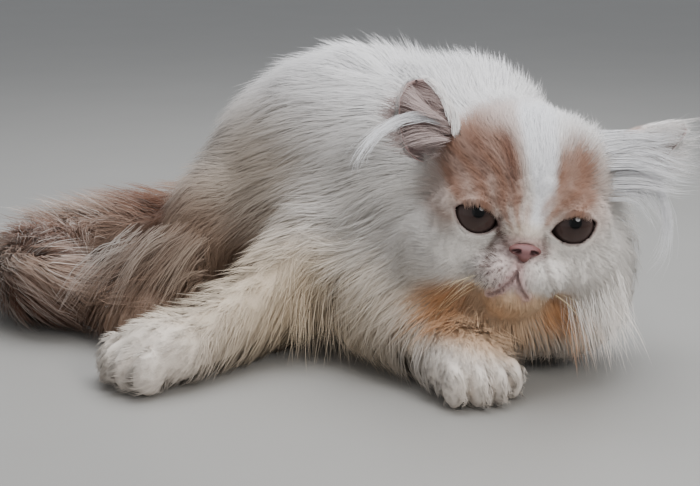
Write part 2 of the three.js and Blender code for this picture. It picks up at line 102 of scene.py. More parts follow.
LAMPS = {
    "key": dict(at=(430, -600, 500), to=(60, 0, 60), size=0.3, watts=3.6, colour=(1.0, 0.98, 0.96)),
    "top": dict(at=(80, 140, 760), to=(20, 40, 60), size=0.9, watts=10.5, colour=(0.95, 0.97, 1.0)),
    "fill": dict(at=(-500, -800, 420), to=(20, 0, 40), size=1.2, watts=1.3, colour=(1.0, 0.97, 0.94)),
}
for name, lamp in LAMPS.items():
    lamp_data = bpy.data.lights.new(name, "AREA")
    lamp_data.shape = "DISK"
    lamp_data.size = lamp["size"]
    lamp_data.energy = lamp["watts"]
    lamp_data.color = lamp["colour"]
    lamp_object = bpy.data.objects.new(name, lamp_data)
    lamp_object.location = packed(lamp["at"])
    aim(lamp_object, lamp["to"])
    bpy.context.scene.collection.objects.link(lamp_object)

world = bpy.data.worlds.new("studio")
world.use_nodes = True
world.node_tree.nodes["Background"].inputs[0].default_value = (0.50, 0.52, 0.55, 1)
world.node_tree.nodes["Background"].inputs[1].default_value = 0.85
bpy.context.scene.world = world


class Wire:
    """A shader socket that can be multiplied: the operator adds a Math node."""

    tree = None

    def __init__(self, socket):
        self.socket = socket

    @classmethod
    def node(cls, kind, settings=None, out=0, **inputs):
        """Adds a node of a kind, sets its settings, then its inputs by name or by number as in1."""
        made = cls.tree.nodes.new("ShaderNode" + kind)
        for key, value in (settings or {}).items():
            if key == "stops":
                ramp = made.color_ramp
                while len(ramp.elements) < len(value):
                    ramp.elements.new(0.5)
                for element, (place, colour) in zip(ramp.elements, value):
                    element.position = place
                    element.color = (*colour, 1)
            else:
                setattr(made, key, value)
        for key, value in inputs.items():
            numbered = key[:2] == "in" and key[2:].isdigit()
            socket = made.inputs[int(key[2:]) if numbered else key.replace("_", " ")]
            if isinstance(value, Wire):
                cls.tree.links.new(value.socket, socket)
            else:
                socket.default_value = value
        return cls(made.outputs[out])

    def __mul__(self, other):
        return Wire.node("Math", {"operation": "MULTIPLY"}, in0=self, in1=other)

    __rmul__ = __mul__


def finish(name, build, **constants):
    """A material whose surface has the given constants and, from build, what varies over it."""
    material = bpy.data.materials.new(name)
    material.use_nodes = True
    Wire.tree = material.node_tree
    shader = material.node_tree.nodes["Principled BSDF"]
    for key, value in constants.items():
        shader.inputs[key.replace("_", " ")].default_value = value
    for key, wire in build().items():
        material.node_tree.links.new(wire.socket, shader.inputs[key])
    return material


def tinted(a, b, share):
    """A colour between two others."""
    return Wire.node("Mix", {"data_type": "RGBA"}, out=2, in0=share, in6=a, in7=b)


def linear(red, green, blue):
    """A screen colour from 0 to 255 as light."""
    return np.array([float(((c / 255 + 0.055) / 1.055) ** 2.4) for c in (red, green, blue)])


def floor_look():
    """Two pale greys, mixed by a fine noise."""
    place = Wire.node("TexCoord", out=3)
    speckle = Wire.node("TexNoise", Vector=place, Scale=9.0, Detail=4.0)
    return {"Base Color": tinted((*linear(146, 144, 140), 1), (*linear(153, 151, 147), 1), speckle)}


def put(name, vertices, faces, material):
    """A mesh object from points in the cat's frame and an array of faces with as many corners each."""
    mesh = bpy.data.meshes.new(name)
    points = packed(vertices).astype(np.float32)
    faces = np.asarray(faces, np.int32)
    mesh.vertices.add(len(points))
    mesh.vertices.foreach_set("co", points.ravel())
    mesh.loops.add(faces.size)
    mesh.loops.foreach_set("vertex_index", faces.ravel())
    mesh.polygons.add(len(faces))
    mesh.polygons.foreach_set("loop_start", np.arange(0, faces.size, faces.shape[1], dtype=np.int32))
    mesh.update(calc_edges=True)
    mesh.validate()
    mesh.materials.append(material)
    piece = bpy.data.objects.new(name, mesh)
    bpy.context.scene.collection.objects.link(piece)
    return piece


def colour_points(piece, colours):
    """Keeps a colour for each vertex as the attribute tint."""
    layer = piece.data.color_attributes.new("tint", "FLOAT_COLOR", "POINT")
    with_alpha = np.concatenate([colours, np.ones((len(colours), 1))], axis=1).astype(np.float32)
    layer.data.foreach_set("color", with_alpha.ravel())


def smooth(piece):
    """Shades a piece's faces as one rounded surface."""
    piece.data.polygons.foreach_set("use_smooth", np.ones(len(piece.data.polygons), bool))


FLOOR_HALF = 6000.0
FLOOR_UP = -0.4
floor_corners = [(x * FLOOR_HALF, y * FLOOR_HALF, FLOOR_UP) for x, y in ((-1, -1), (1, -1), (1, 1), (-1, 1))]
floor = put("floor", floor_corners, [[0, 1, 2, 3]], finish("pale_floor", floor_look, Roughness=0.45))

# The skin under the coat: one unbroken hide over head, neck, trunk, legs and tail. It lies inside the
# solids by the depth of the coat, and on the face it is nearly at their surface. It is the zero surface
# of a sum of eggs and tapered rods.
TRUNK = turn(41)


def ball(centre, radii, turned=HEAD_TURN):
    """An egg: the distance in radii less one, brought back to millimetres by its slope."""
    centre, radii = np.asarray(centre, float), np.asarray(radii, float)

    def field(points):
        local = (points - centre) @ turned
        near = np.sqrt(((local / radii) ** 2).sum(1))
        slope = np.sqrt(((local / radii**2) ** 2).sum(1))
        return near * (near - 1) / np.maximum(slope, 1e-9)

    return field


def limb(start, end, start_radius, end_radius):
    """A rod with round ends: the distance from its line less a radius that changes evenly along it."""
    start, along = np.asarray(start, float), np.subtract(end, start).astype(float)

    def field(points):
        away = points - start
        share = np.clip(away @ along / (along @ along), 0, 1)
        radius = start_radius + (end_radius - start_radius) * share
        return np.sqrt(((away - share[:, None] * along) ** 2).sum(1)) - radius

    return field


def join(width, *fields):
    """Several forms as one: the least of their distances, with creases filled over a width."""

    def field(points):
        total = fields[0](points)
        for other in fields[1:]:
            value = other(points)
            fill = np.maximum(width - np.abs(total - value), 0) / width
            total = np.minimum(total, value) - fill * fill * width / 4
        return total

    return field


def chain(width, points, radii):
    """Rods from point to point, each as wide where it ends as the next where it begins."""
    return join(width, *(limb(*ends) for ends in zip(points[:-1], points[1:], radii[:-1], radii[1:])))


def sunk(form, depth):
    """A form whose surface lies deeper by a depth."""
    return lambda points: form(points) + depth


torso = join(
    30,
    ball((80, -10, 72), (52, 54, 60), TRUNK),
    ball((48, 44, 77), (60, 66, 68), TRUNK),
    ball((19, 87, 68), (54, 57, 60), TRUNK),
    ball((4, 112, 52), (48, 43, 46), TRUNK),
    ball((40, 50, 38), (70, 86, 42), TRUNK),
)
neck = join(
    20,
    limb((98, 2, 98), (112, -50, 88), 44, 40),
    ball(on_head(-1, 26, -16), (61, 31, 54)),
    ball(on_head(-27, 7, -38), (28, 22, 26)),
    ball(on_head(30, 7, -33), (28, 22, 28)),
    ball(on_head(0, -2, -45), (32, 20, 17)),
)
head = join(
    10,
    ball(on_head(0, 6, 13), (43, 42, 39)),
    ball(on_head(-27, -6, -14), (25, 27, 24)),
    ball(on_head(27, -6, -14), (25, 27, 24)),
    ball(on_head(-10, -36, -19), (13, 11, 10)),
    ball(on_head(10, -36, -19), (13, 11, 10)),
    ball(on_head(0, -30, -31), (14, 12, 9)),
    ball(on_head(0, -34, -2), (9, 9, 10)),
    ball(on_head(-24, -24, 5), (18, 10, 15)),
    ball(on_head(24, -24, 5), (18, 10, 15)),
)
foreleg_right = chain(14, [(34, -10, 52), (10, -38, 32), (-30, -82, 19)], [34, 24, 18])
foreleg_left = chain(14, [(78, -34, 46), (52, -62, 28), (80, -100, 18)], [30, 21, 16])
hindleg_right = join(
    16,
    ball((-30, 72, 38), (38, 50, 36), turn(20)),
    limb((-52, 40, 20), (-64, -4, 15), 20, 15),
)
hindleg_left = join(
    16,
    ball((62, 132, 44), (40, 46, 40), TRUNK),
    limb((96, 104, 20), (118, 62, 14), 20, 14),
)


def paw(at, size, yaw):
    """A palm and four toes that fan out from it."""
    turned = turn(yaw)
    across, along, up = size
    toes = [
        ball(
            np.array(at) + turned @ np.array([k * across * 0.46, along * (0.76 - 0.07 * k * k), -up * 0.25]),
            (across * 0.29, along * 0.34, up * 0.72),
            turned,
        )
        for k in (-1.5, -0.5, 0.5, 1.5)
    ]
    return join(3, ball(at, (across, along * 0.86, up), turned), join(1.5, *toes))


PAWS = {
    "forepaw_right": dict(at=(-52, -97, 15), size=(24, 30, 17), yaw=125),
    "forepaw_left": dict(at=(93, -116, 14), size=(22, 27, 16), yaw=-155),
    "hindpaw_right": dict(at=(-72, -26, 14), size=(18, 26, 15), yaw=170),
    "hindpaw_left": dict(at=(124, 44, 14), size=(18, 25, 15), yaw=205),
}
paws = join(2, *(paw(**form) for form in PAWS.values()))
TAIL_LINE = [(-38, 126, 34), (-92, 116, 26), (-134, 80, 25), (-146, 30, 25), (-130, -8, 24), (-100, -24, 22)]
TAIL_RADII = [17, 17, 18, 18, 16, 10]


def along_line(points, share):
    """Places on a smooth curve through points, by the cubic whose slope at each is half the step between
    its neighbours."""
    points = np.asarray(points, float)
    padded = np.concatenate([2 * points[:1] - points[1:2], points, 2 * points[-1:] - points[-2:-1]])
    place = np.clip(np.asarray(share, float), 0, 1) * (len(points) - 1)
    low = np.minimum(place.astype(int), len(points) - 2)
    t = (place - low)[..., None]
    a, b, c, d = (padded[low + k] for k in range(4))
    return 0.5 * (2 * b + (c - a) * t + (2 * a - 5 * b + 4 * c - d) * t**2 + (3 * b - a - 3 * c + d) * t**3)


TAIL_STEPS = np.linspace(0, 1, 13)
tail_radii = np.interp(TAIL_STEPS, np.linspace(0, 1, len(TAIL_RADII)), TAIL_RADII)
tail = chain(8, along_line(TAIL_LINE, TAIL_STEPS), tail_radii)
EYE_RADIUS = 11.0
LID_THICK = 1.2
LID_SLANT = math.radians(16.0)
LID_HALF = 10.8
LID_ABOVE, LID_BELOW = 5.8, 7.2


def unit(ways):
    """Ways with their length made one."""
    return ways / np.maximum(np.linalg.norm(ways, axis=-1, keepdims=True), 1e-9)


def slope(form, points, h=0.4):
    """The way out of a form: the sum of its values at four corners about a point, each times its corner."""
    corners = np.array([[1, -1, -1], [-1, -1, 1], [-1, 1, -1], [1, 1, 1]], float)
    return unit(sum(form(points + h * corner)[:, None] * corner for corner in corners))


def reach(form, starts, ways, out=0.0):
    """Where rays from inside a form leave it, moved on by a length. Each of 40 steps back is 0.8 of the
    form's value."""
    ways = unit(ways)
    places = np.array(starts, float)
    for _ in range(40):
        places -= ways * (0.8 * form(places))[:, None]
    return places + ways * out


def on_face(spots, out=0.0):
    """Places on the face, given to its left and up as it is looked at."""
    spots = np.array(spots, float)
    none = np.zeros(len(spots))
    starts = np.stack([spots[:, 0] * 0.6, none, spots[:, 1] * 0.8], 1) @ HEAD_TURN.T + HEAD_AT
    ways = np.stack([spots[:, 0] * 0.4, none - 40, spots[:, 1] * 0.2], 1) @ HEAD_TURN.T
    return reach(head, starts, ways, out)


def cord(points, radius):
    """A round cord through points."""
    return chain(0.6, points, [radius] * len(points))


def cut(width, form, *tools):
    """A form less others, with the edges rounded over a width."""
    return lambda points: -join(width, lambda p: -form(p), *tools)(points)


def distance(points, place):
    """The distances of points from a place."""
    return np.linalg.norm(points - place, axis=1)


def only_near(middle, reach_out, form, clear=12):
    """A form that is worked out only near a place, and is clear of everything elsewhere."""

    def field(points):
        away = distance(points, middle)
        values = away - reach_out + clear
        close = away < reach_out
        values[close] = form(points[close])
        return values

    return field


def arc_radius(rise):
    """The radius of an arc as wide as the lids that rises so far: (half^2 + rise^2) / (2 rise)."""
    return (LID_HALF**2 + rise**2) / (2 * rise)


def lid_opening(side):
    """The opening between two lids: where two discs overlap, drawn out forwards from the eye."""
    upper_radius, lower_radius = arc_radius(LID_ABOVE), arc_radius(LID_BELOW)

    def field(points):
        local = (points - EYES[side]) @ HEAD_TURN
        across, up = side * local[:, 0], local[:, 2]
        x = across * math.cos(LID_SLANT) + up * math.sin(LID_SLANT)
        y = up * math.cos(LID_SLANT) - across * math.sin(LID_SLANT)
        upper = np.hypot(x, y - LID_ABOVE + upper_radius) - upper_radius
        lower = np.hypot(x, y + LID_BELOW - lower_radius) - lower_radius
        return np.maximum(np.maximum(upper, lower), local[:, 1] + 3)

    return field


MOUTH = {  # the corner on its left is drawn in
    -1: [(-2.8, -15.8), (-4.6, -20), (-8.4, -25.4), (-13.4, -30)],
    1: [(-2.8, -15.8), (-1.6, -20), (0.8, -24.4), (4.0, -28)],
}
LIP_CLEFT = [(-0.8, -8), (-1.6, -12), (-2.8, -17)]
FOLDS = {
    -1: [(-12.4, 6), (-11.9, -1), (-14.2, -8), (-18, -16), (-21, -22)],
    1: [(9.8, 0), (10.4, -9), (12, -15), (15, -21), (19.5, -25)],
}
lid_balls = [ball(EYES[side], [EYE_RADIUS + LID_THICK] * 3) for side in SIDES]
eye_balls = [ball(EYES[side], [EYE_RADIUS + 0.15] * 3) for side in SIDES]
lips = [cord(on_face(MOUTH[side], -1.6), 1.7) for side in SIDES]
grooves = [cord(on_face(MOUTH[side], -0.5), 0.75) for side in SIDES]
grooves.append(cord(on_face(LIP_CLEFT, -0.6), 0.7))
folds = [cord(on_face(FOLDS[side], 0.4), 2.8) for side in SIDES]
NOSE_AT = on_face([(0, -6)], -1.2)[0]
NOSE_RADII = (7.6, 3.3, 3.0)
KEEL_RADII = (2.8, 2.8, 3.0)


def from_mouth(points):
    """The distance of points from the lines of the mouth."""
    return np.minimum.reduce([groove(points) for groove in grooves])


def nose_form(grow):
    """A flat egg across the face and a round keel under it, both grown by a length."""
    wedge = ball(NOSE_AT, np.add(NOSE_RADII, grow))
    keel = ball(on_head(0, 0, -2.6, NOSE_AT), np.add(KEEL_RADII, grow))
    return join(1.2, wedge, keel)


HEAD_REACH = 90
muzzle = cut(3, join(3, sunk(head, 1.5), *lips), *folds)
face = cut(1, join(3, muzzle, *lid_balls), *grooves, *(lid_opening(side) for side in SIDES))
face = only_near(HEAD_AT, HEAD_REACH, cut(0.3, face, *eye_balls, nose_form(0.2)))
legs = join(8, foreleg_right, foreleg_left, hindleg_right, hindleg_left)
flesh = join(10, sunk(torso, 5), sunk(neck, 5), face, sunk(legs, 4), sunk(paws, 1.5), sunk(tail, 7))
body = join(10, torso, neck, only_near(HEAD_AT, HEAD_REACH, head), legs, paws, tail)
COARSE, FINE = 3.2, 1.08


def spacing(low, fine_low, fine_high, high):
    """Places along an axis, closer together where the face is."""
    parts = (low, fine_low, COARSE), (fine_low, fine_high, FINE), (fine_high, high + COARSE, COARSE)
    return np.concatenate([np.arange(*part) for part in parts])


def net(form, *axes, block=4):
    """The zero surface of a form as four-sided faces. Each cell of the grid that it crosses has one
    vertex, at the mean of the crossings on the cell's edges, which is then drawn onto the surface."""
    middles = [np.array([axis[k : k + block].mean() for k in range(0, len(axis), block)]) for axis in axes]
    widths = [
        np.array([np.ptp(axis[max(k - 1, 0) : k + block + 1]) for k in range(0, len(axis), block)])
        for axis in axes
    ]
    rough_at = np.stack(np.meshgrid(*middles, indexing="ij"), -1)
    rough = form(rough_at.reshape(-1, 3)).reshape(rough_at.shape[:3])
    half = np.sqrt(sum(w**2 for w in np.meshgrid(*widths, indexing="ij"))) / 2
    spread = np.ix_(*[np.arange(len(axis)) // block for axis in axes])
    value = rough[spread]
    near = np.nonzero((np.abs(rough) < 1.4 * half + 2)[spread])
    value[near] = form(np.stack([axis[index] for axis, index in zip(axes, near)], 1))
    cells = [len(axis) - 1 for axis in axes]
    corners, crossings = [], []
    for axis in range(3):
        second, third = (axis + 1) % 3, (axis + 2) % 3
        low, high = [slice(1, -1)] * 3, [slice(1, -1)] * 3
        low[axis], high[axis] = slice(0, -1), slice(1, None)
        start, end = value[tuple(low)], value[tuple(high)]
        index = np.nonzero((start < 0) != (end < 0))
        first_value, last_value = start[index], end[index]
        index = [i + (0 if k == axis else 1) for k, i in enumerate(index)]
        place = np.stack([axes[k][index[k]] for k in range(3)], 1)
        gap = axes[axis][index[axis] + 1] - axes[axis][index[axis]]
        place[:, axis] += gap * first_value / (first_value - last_value)
        around = []
        for back_second, back_third in ((1, 1), (0, 1), (0, 0), (1, 0)):
            cell = list(index)
            cell[second] = cell[second] - back_second
            cell[third] = cell[third] - back_third
            around.append(np.ravel_multi_index(cell, cells))
        around = np.stack(around, 1)
        turned = first_value >= 0
        around[turned] = around[turned][:, ::-1]
        corners.append(around)
        crossings.append(np.repeat(place, 4, axis=0))
    corners = np.concatenate(corners)
    crossings = np.concatenate(crossings)
    faces = np.unique(corners.ravel(), return_inverse=True)[1]
    count = np.bincount(faces)
    vertices = np.stack([np.bincount(faces, crossings[:, k]) / count for k in range(3)], 1)
    for _ in range(2):
        vertices -= slope(form, vertices) * np.clip(form(vertices), -0.6, 0.6)[:, None]
    return vertices, faces.reshape(-1, 4)


EARS = {
    "right": dict(
        root=(-42, 6, 26), way=(-0.42, -0.12, 0.9), front=(-0.35, -0.93, -0.1), height=41.0, narrowing=0.2
    ),
    "left": dict(
        root=(43, 6, 27), way=(0.8, -0.08, 0.58), front=(0.15, -0.96, 0.05), height=48.0, narrowing=0.6
    ),
}
EAR_WIDE, EAR_DEEP, EAR_WALL = 16.5, 8.6, 1.3
EAR_ARC = (-28, 208)


def ear_axes(ear):
    """The ways up an ear, across it, and out of its cup."""
    tall = HEAD_TURN @ np.array(ear["way"]) / np.linalg.norm(ear["way"])
    forward = HEAD_TURN @ np.array(ear["front"], float)
    forward -= tall * (forward @ tall)
    forward /= np.linalg.norm(forward)
    return tall, np.cross(tall, forward), forward


def ear_place(ear, share, round_angle, thin=0.0):
    """A place on an ear's wall: half an oval that is widest low down and closes at the tip."""
    tall, side, forward = ear_axes(ear)
    ring = np.sqrt(np.maximum(1 - (2 * share - 1) ** 2, 0))
    swell = ring**0.7 * (1 - ear["narrowing"] * share)
    across = np.cos(round_angle) * (EAR_WIDE - thin) * swell
    ahead = -np.sin(round_angle) * (EAR_DEEP - thin) * swell - 5 * share**2
    height = share * (ear["height"] - 0.6 - thin) - 4
    place = on_head(*ear["root"]) + tall * height[..., None]
    return place + side * across[..., None] + forward * ahead[..., None]


def ear_shell(ear, rows=22, columns=26):
    """An ear's outer wall from edge to edge and back again inside it, closed at its rim, foot and tip."""
    share = (1 - np.cos(np.pi * np.linspace(0.01, 0.995, rows)))[:, None] / 2
    angle = np.radians(np.linspace(*EAR_ARC, columns))
    grid = np.concatenate([ear_place(ear, share, angle), ear_place(ear, share, angle[::-1], EAR_WALL)], 1)
    loop = grid.shape[1]
    k, j = np.meshgrid(np.arange(rows - 1), np.arange(loop), indexing="ij")
    low, low_next = k * loop + j, k * loop + (j + 1) % loop
    faces = np.stack([low, low_next, low_next + loop, low + loop], -1)
    return grid.reshape(-1, 3), faces.reshape(-1, 4)


skin_steps = spacing(-185, 62, 172, 180), spacing(-160, -134, -66, 185), spacing(-6, 24, 122, 170)
skin_vertices, skin_faces = net(flesh, *skin_steps)
SKIN_LOWEST = 0.4
skin_vertices[:, 2] = np.maximum(skin_vertices[:, 2], SKIN_LOWEST)
ear_meshes = [ear_shell(ear) for ear in EARS.values()]


def joined(meshes):
    """Several meshes, each points and faces, as one."""
    offsets = np.cumsum([0] + [len(points) for points, _ in meshes[:-1]])
    faces = [corners + offset for (_, corners), offset in zip(meshes, offsets)]
    return np.concatenate([points for points, _ in meshes]), np.concatenate(faces)


# The coat's colours. The cat is near white, cooler on its back and beige low down, with soft red patches
# beside a white blaze, a pale tan crown, an orange stain under the chin, a brown haunch and a red tail. The
# beige on the forelegs and flank, the brown over the flank, haunch and hind foot, the dark of the mouth's
# lines and the streaks down the folds below the eyes are partly painted shade.
WHITE = linear(232, 226, 219)
COOL = linear(228, 228, 230)
CREAM = linear(216, 198, 178)
BEIGE_AND_SHADE = linear(204, 184, 156)
PEACH = linear(224, 190, 156)
PALE_PINK = linear(204, 176, 172)
PALE_TAN = linear(184, 160, 148)
MAUVE = linear(176, 138, 136)
ORANGE = linear(192, 138, 94)
TAN = linear(144, 109, 91)
HAUNCH_AND_SHADE = linear(138, 112, 92)
BROWN_AND_SHADE = linear(118, 90, 70)
RED = linear(112, 72, 53)
RUST = linear(102, 66, 50)
DARK = linear(74, 50, 46)


def eased(share):
    """A share from 0 to 1 that starts and ends gently: 3 s^2 - 2 s^3."""
    share = np.clip(share, 0, 1)
    return share * share * (3 - 2 * share)


def patch(points, centre, radii, soft=0.4, turned=HEAD_TURN):
    """How much of a soft-edged egg's colour a point has, from 1 in its middle to 0 outside."""
    away = np.linalg.norm(((points - np.asarray(centre)) @ turned) / np.asarray(radii, float), axis=1)
    return eased((1 + soft - away) / (2 * soft))


def blend(colours, colour, share):
    """Colours moved towards another by a share at each point."""
    return colours + (colour - colours) * share[:, None]


def swirl(points, size):
    """A smooth, irregular way at each point: sines of its place over a size in millimetres, bent by
    sines of the next axis."""
    x, y, z = (points / size).T
    waves = [y * 1.3 + 2 * np.sin(z), z * 1.1 + 2 * np.sin(x), x * 1.2 + 2 * np.sin(y)]
    return np.stack([np.sin(wave) for wave in waves], 1)


BODY_PATCHES = [  # colour, middle, radii, softness, turn and strength
    # The beige patches on the forelegs and flank are partly the coat's warmer tone and partly painted shade,
    # darker low down where less light falls.
    (BEIGE_AND_SHADE, (-18, -56, 26), (70, 60, 34), 0.5, HEAD_TURN, 0.75),
    (BEIGE_AND_SHADE, (-30, 10, 70), (50, 60, 44), 0.6, HEAD_TURN, 0.5),
    (BEIGE_AND_SHADE, (50, -60, 24), (64, 48, 34), 0.5, HEAD_TURN, 0.8),
    # The first haunch patch darkens the flank, partly a warmer tone and partly painted shade where the light
    # falls off; the next two are the haunch's and hind foot's own brown, darkened further with painted shade.
    (HAUNCH_AND_SHADE, (-30, 40, 60), (80, 90, 70), 0.6, turn(10), 0.3),
    (HAUNCH_AND_SHADE, (-52, 60, 26), (50, 100, 40), 0.45, turn(10), 0.95),
    (BROWN_AND_SHADE, (-80, -20, 14), (36, 52, 34), 0.4, turn(10), 0.95),
]
SPECK_ROWS = np.array([[0.6, 0.0, 0.8], [-0.8, 0.0, 0.6]])  # the ways that the whisker pad's dots run
MUZZLE_SPOTS = [  # colour, place to the face's left and up, half width and height, softness and strength
    (CREAM * 0.8, (0, -1), 9, 7, 0.4, 0.6),
    (MAUVE, (0, -6), 12, 6, 0.4, 0.6),
    (PEACH, (0, -35), 17, 9, 0.4, 0.95),
    (PALE_PINK * 0.9, (-8, -17), 12, 9, 0.5, 0.6),
]
# Along the folds below the eyes: tear stains near the eyes, and painted shade in the crease between pad and
# cheek further down.
TEAR_STAINS_AND_FOLD_SHADE = ((-1, 1.4, 0.95), (1, 1.0, 0.7))  # side, half width at the eye, and strength


def markings(points):
    """The colour of the coat at each point: white, with the other colours laid over it in turn. Those of
    the face lie on a flat map of it, to its left and up, and fade out behind it."""
    local = (points - HEAD_AT) @ HEAD_TURN
    left, up = local[:, 0], local[:, 2]
    from_skull = np.linalg.norm(local, axis=1)
    front = np.stack([left, np.zeros(len(points)), up], 1)
    ahead = eased((14 - local[:, 1]) / 14) * (from_skull < 70)

    def oval(at, wide, high, soft):
        """How much of a soft-edged oval's colour a point has on the face's map."""
        return patch(front, (at[0], 0, at[1]), (wide, 1, high), soft, np.eye(3))

    def streak(start, end, half_width, soft):
        """How much of a streak's colour a point has on the face."""
        ends = (start[0], 0, start[1]), (end[0], 0, end[1])
        return eased((soft - limb(*ends, half_width, half_width)(front)) / (2 * soft)) * ahead

    def spot(*form):
        """How much of an oval's colour a point has on the face."""
        return oval(*form) * ahead

    colours = np.tile(WHITE, (len(points), 1))
    colours = blend(colours, COOL, eased((points[:, 2] - 90) / 50) * 0.7)
    colours = blend(colours, CREAM, eased((60 - points[:, 2]) / 60) * 0.45)
    for colour, middle, radii, soft, turned, strength in BODY_PATCHES:
        colours = blend(colours, colour, patch(points, middle, radii, soft, turned) * strength)
    tail_share = eased((10 - tail(points)) / 14) * eased((-10 - points[:, 0]) / 30)
    wave = 0.5 + 0.5 * np.sin(points[:, 0] / 17 + 1.7 * np.sin(points[:, 1] / 23) + points[:, 2] / 9)
    colours = blend(colours, blend(RED, CREAM, 0.3 * wave), tail_share)
    bib = patch(points, on_head(-4, -18, -44), (42, 46, 18), 0.3)
    left_stain = patch(points, on_head(24, -18, -40), (14, 44, 11), 0.5)
    right_stain = patch(points, on_head(-34, -18, -42), (13, 44, 12), 0.5)
    colours = blend(colours, PEACH, bib * 0.95)
    colours = blend(colours, ORANGE, bib * np.clip(left_stain + right_stain, 0, 1) * 0.9)
    right_tan = np.maximum(spot((-23, 26), 20, 21, 0.3), spot((-38, 12), 9, 15, 0.5) * 0.7)
    tan = np.clip(right_tan + spot((22, 26), 12.5, 18, 0.35), 0, 1)
    bearing = np.arctan2(left, up + 12)
    streaky = 0.5 + 0.5 * np.sin(26 * bearing + 1.6 * np.sin(up / 5))
    colours = blend(colours, TAN * 1.2, patch(points, on_head(51, 2, 42), (8, 12, 6), 0.5) * 0.8)
    crown = oval((-26, 44), 26, 17, 0.5) * eased((26 - local[:, 1]) / 20)
    crown = np.maximum(crown, spot((27, 20), 17, 19, 0.5))
    colours = blend(colours, PALE_TAN, crown * (from_skull < 76) * 0.7)
    colours = blend(colours, TAN, tan * (0.86 + 0.14 * streaky))
    colours = blend(colours, RUST, streak((-12, 42), (-7, 15), 2.0, 3.0) * 0.85)
    colours = blend(colours, RUST, streak((-26, 38), (-21, 24), 1.6, 3.5) * 0.4)
    blaze_width = np.interp(up, [5, 18, 50], [3.5, 4.5, 9.5])
    blaze_middle = np.interp(up, [-6, 18, 50], [3.0, 6.5, 3.0])
    blaze = eased((2.5 + blaze_width - np.abs(left - blaze_middle)) / 5) * eased((up - 2) / 6) * ahead
    colours = blend(colours, COOL, blaze)
    between = np.maximum(spot((-6, 10), 7, 12, 0.5), spot((11, 11), 4.5, 8, 0.5))
    colours = blend(colours, TAN * 1.2, between * (0.4 + 0.45 * streaky))
    for colour, at, wide, high, soft, strength in MUZZLE_SPOTS:
        colours = blend(colours, colour, spot(at, wide, high, soft) * strength)
    rows = local @ SPECK_ROWS.T + 1.3 * swirl(local, 2.6)[:, :2]
    specks = eased((np.cos(rows[:, 0] * 1.35) * np.cos(rows[:, 1] * 1.9) - 0.3) / 0.35)
    colours = blend(colours, DARK, specks * spot((-14, -18), 8.5, 10, 0.3) * 0.85)
    # The streaks down the folds: real tear stains near the eyes, painted shade in the creases below them.
    for side, half_width, strength in TEAR_STAINS_AND_FOLD_SHADE:
        for part, (start, end) in enumerate(zip(FOLDS[side][:-1], FOLDS[side][1:])):
            stain_and_fold_shade = streak(start, end, half_width - 0.25 * part, 1.7)
            colours = blend(colours, RUST * 0.6, stain_and_fold_shade * strength * (1 - 0.17 * part))
    colours = blend(colours, RUST * 0.7, streak((-11.6, -1), (-8, -6), 0.9, 1.6) * 0.9)
    # The mouth's lines: pinkish lips, and a dark core that is partly the lips' own dark edge and partly
    # painted shade in the grooves.
    groove = from_mouth(points)
    colours = blend(colours, MAUVE, eased((4.2 - groove) / 4.0) * ahead * 0.7)
    return blend(colours, DARK, eased((1.2 - groove) / 1.9) * ahead * 0.85)


def lid_rims(points):
    """How much a point of the skin belongs to the dark edges of the lids."""
    shares = []
    for side in SIDES:
        near = distance(points, EYES[side]) < 17
        shares.append(eased((2.0 - np.maximum(lid_opening(side)(points), 0)) / 1.8) * near)
    return 0.9 * np.maximum(*shares)


# The skin's mesh, with the ears' cups, in the coat's colours. It is one soft hide that stands in for
# every part of flesh, and the hair is rooted in it.
skin_points, skin_corners = joined([(skin_vertices, skin_faces)] + ear_meshes)


def skin_look():
    """The colours kept as tint, faintly mottled and roughened by a fine noise."""
    tint = Wire.node("Attribute", {"attribute_name": "tint"})
    mottle = Wire.node("TexNoise", Vector=Wire.node("TexCoord", out=3), Scale=900.0, Detail=3.0)
    bump = Wire.node("Bump", Height=mottle, Strength=0.5, Distance=0.0006)
    return {"Base Color": tinted(tint, (0.5, 0.43, 0.39, 1), mottle * 0.12), "Normal": bump}


FLESH = ["head", "neck", "torso", "foreleg_left", "foreleg_right", "forepaw_left", "forepaw_right"]
FLESH += ["hindleg_left", "hindleg_right", "hindpaw_left", "hindpaw_right"]
FLESH += ["tail_base", "tail_middle", "tail_tip", "ear_left", "ear_right"]
EAR_SKIN = linear(166, 138, 134)
skin = put("skin", skin_points, skin_corners, finish("hide", skin_look, Roughness=0.7))
ear_colours = np.tile(EAR_SKIN, (len(skin_points) - len(skin_vertices), 1))
skin_colours = blend(markings(skin_vertices), DARK, lid_rims(skin_vertices))
colour_points(skin, np.concatenate([skin_colours, ear_colours]))
smooth(skin)
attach(skin, "root")
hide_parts(*FLESH)

# The eyes: dark brown balls under a wet, clear front, each with a small pupil high in the opening, as
# the cat looks up from under its brow. They sit in the openings between the lids.
GAZE = {-1: (0.0, 0.30), 1: (-0.03, 0.29)}  # how far the pupil lies to the side and up, in the eye's radii
IRIS = [  # colours by the distance from the pupil's middle, in the eye's radii
    (0.0, (0.002, 0.002, 0.002)),
    (0.25, (0.002, 0.002, 0.002)),
    (0.31, (0.026, 0.016, 0.014)),
    (0.60, (0.044, 0.028, 0.024)),
    (0.84, (0.060, 0.040, 0.036)),
    (1.0, (0.022, 0.014, 0.013)),
]


def eye_look():
    """The colours of the iris by the distance kept as gaze."""
    from_pupil = Wire.node("Attribute", {"attribute_name": "gaze"}, out=2)
    return {"Base Color": Wire.node("ValToRGB", {"stops": IRIS}, Fac=from_pupil)}


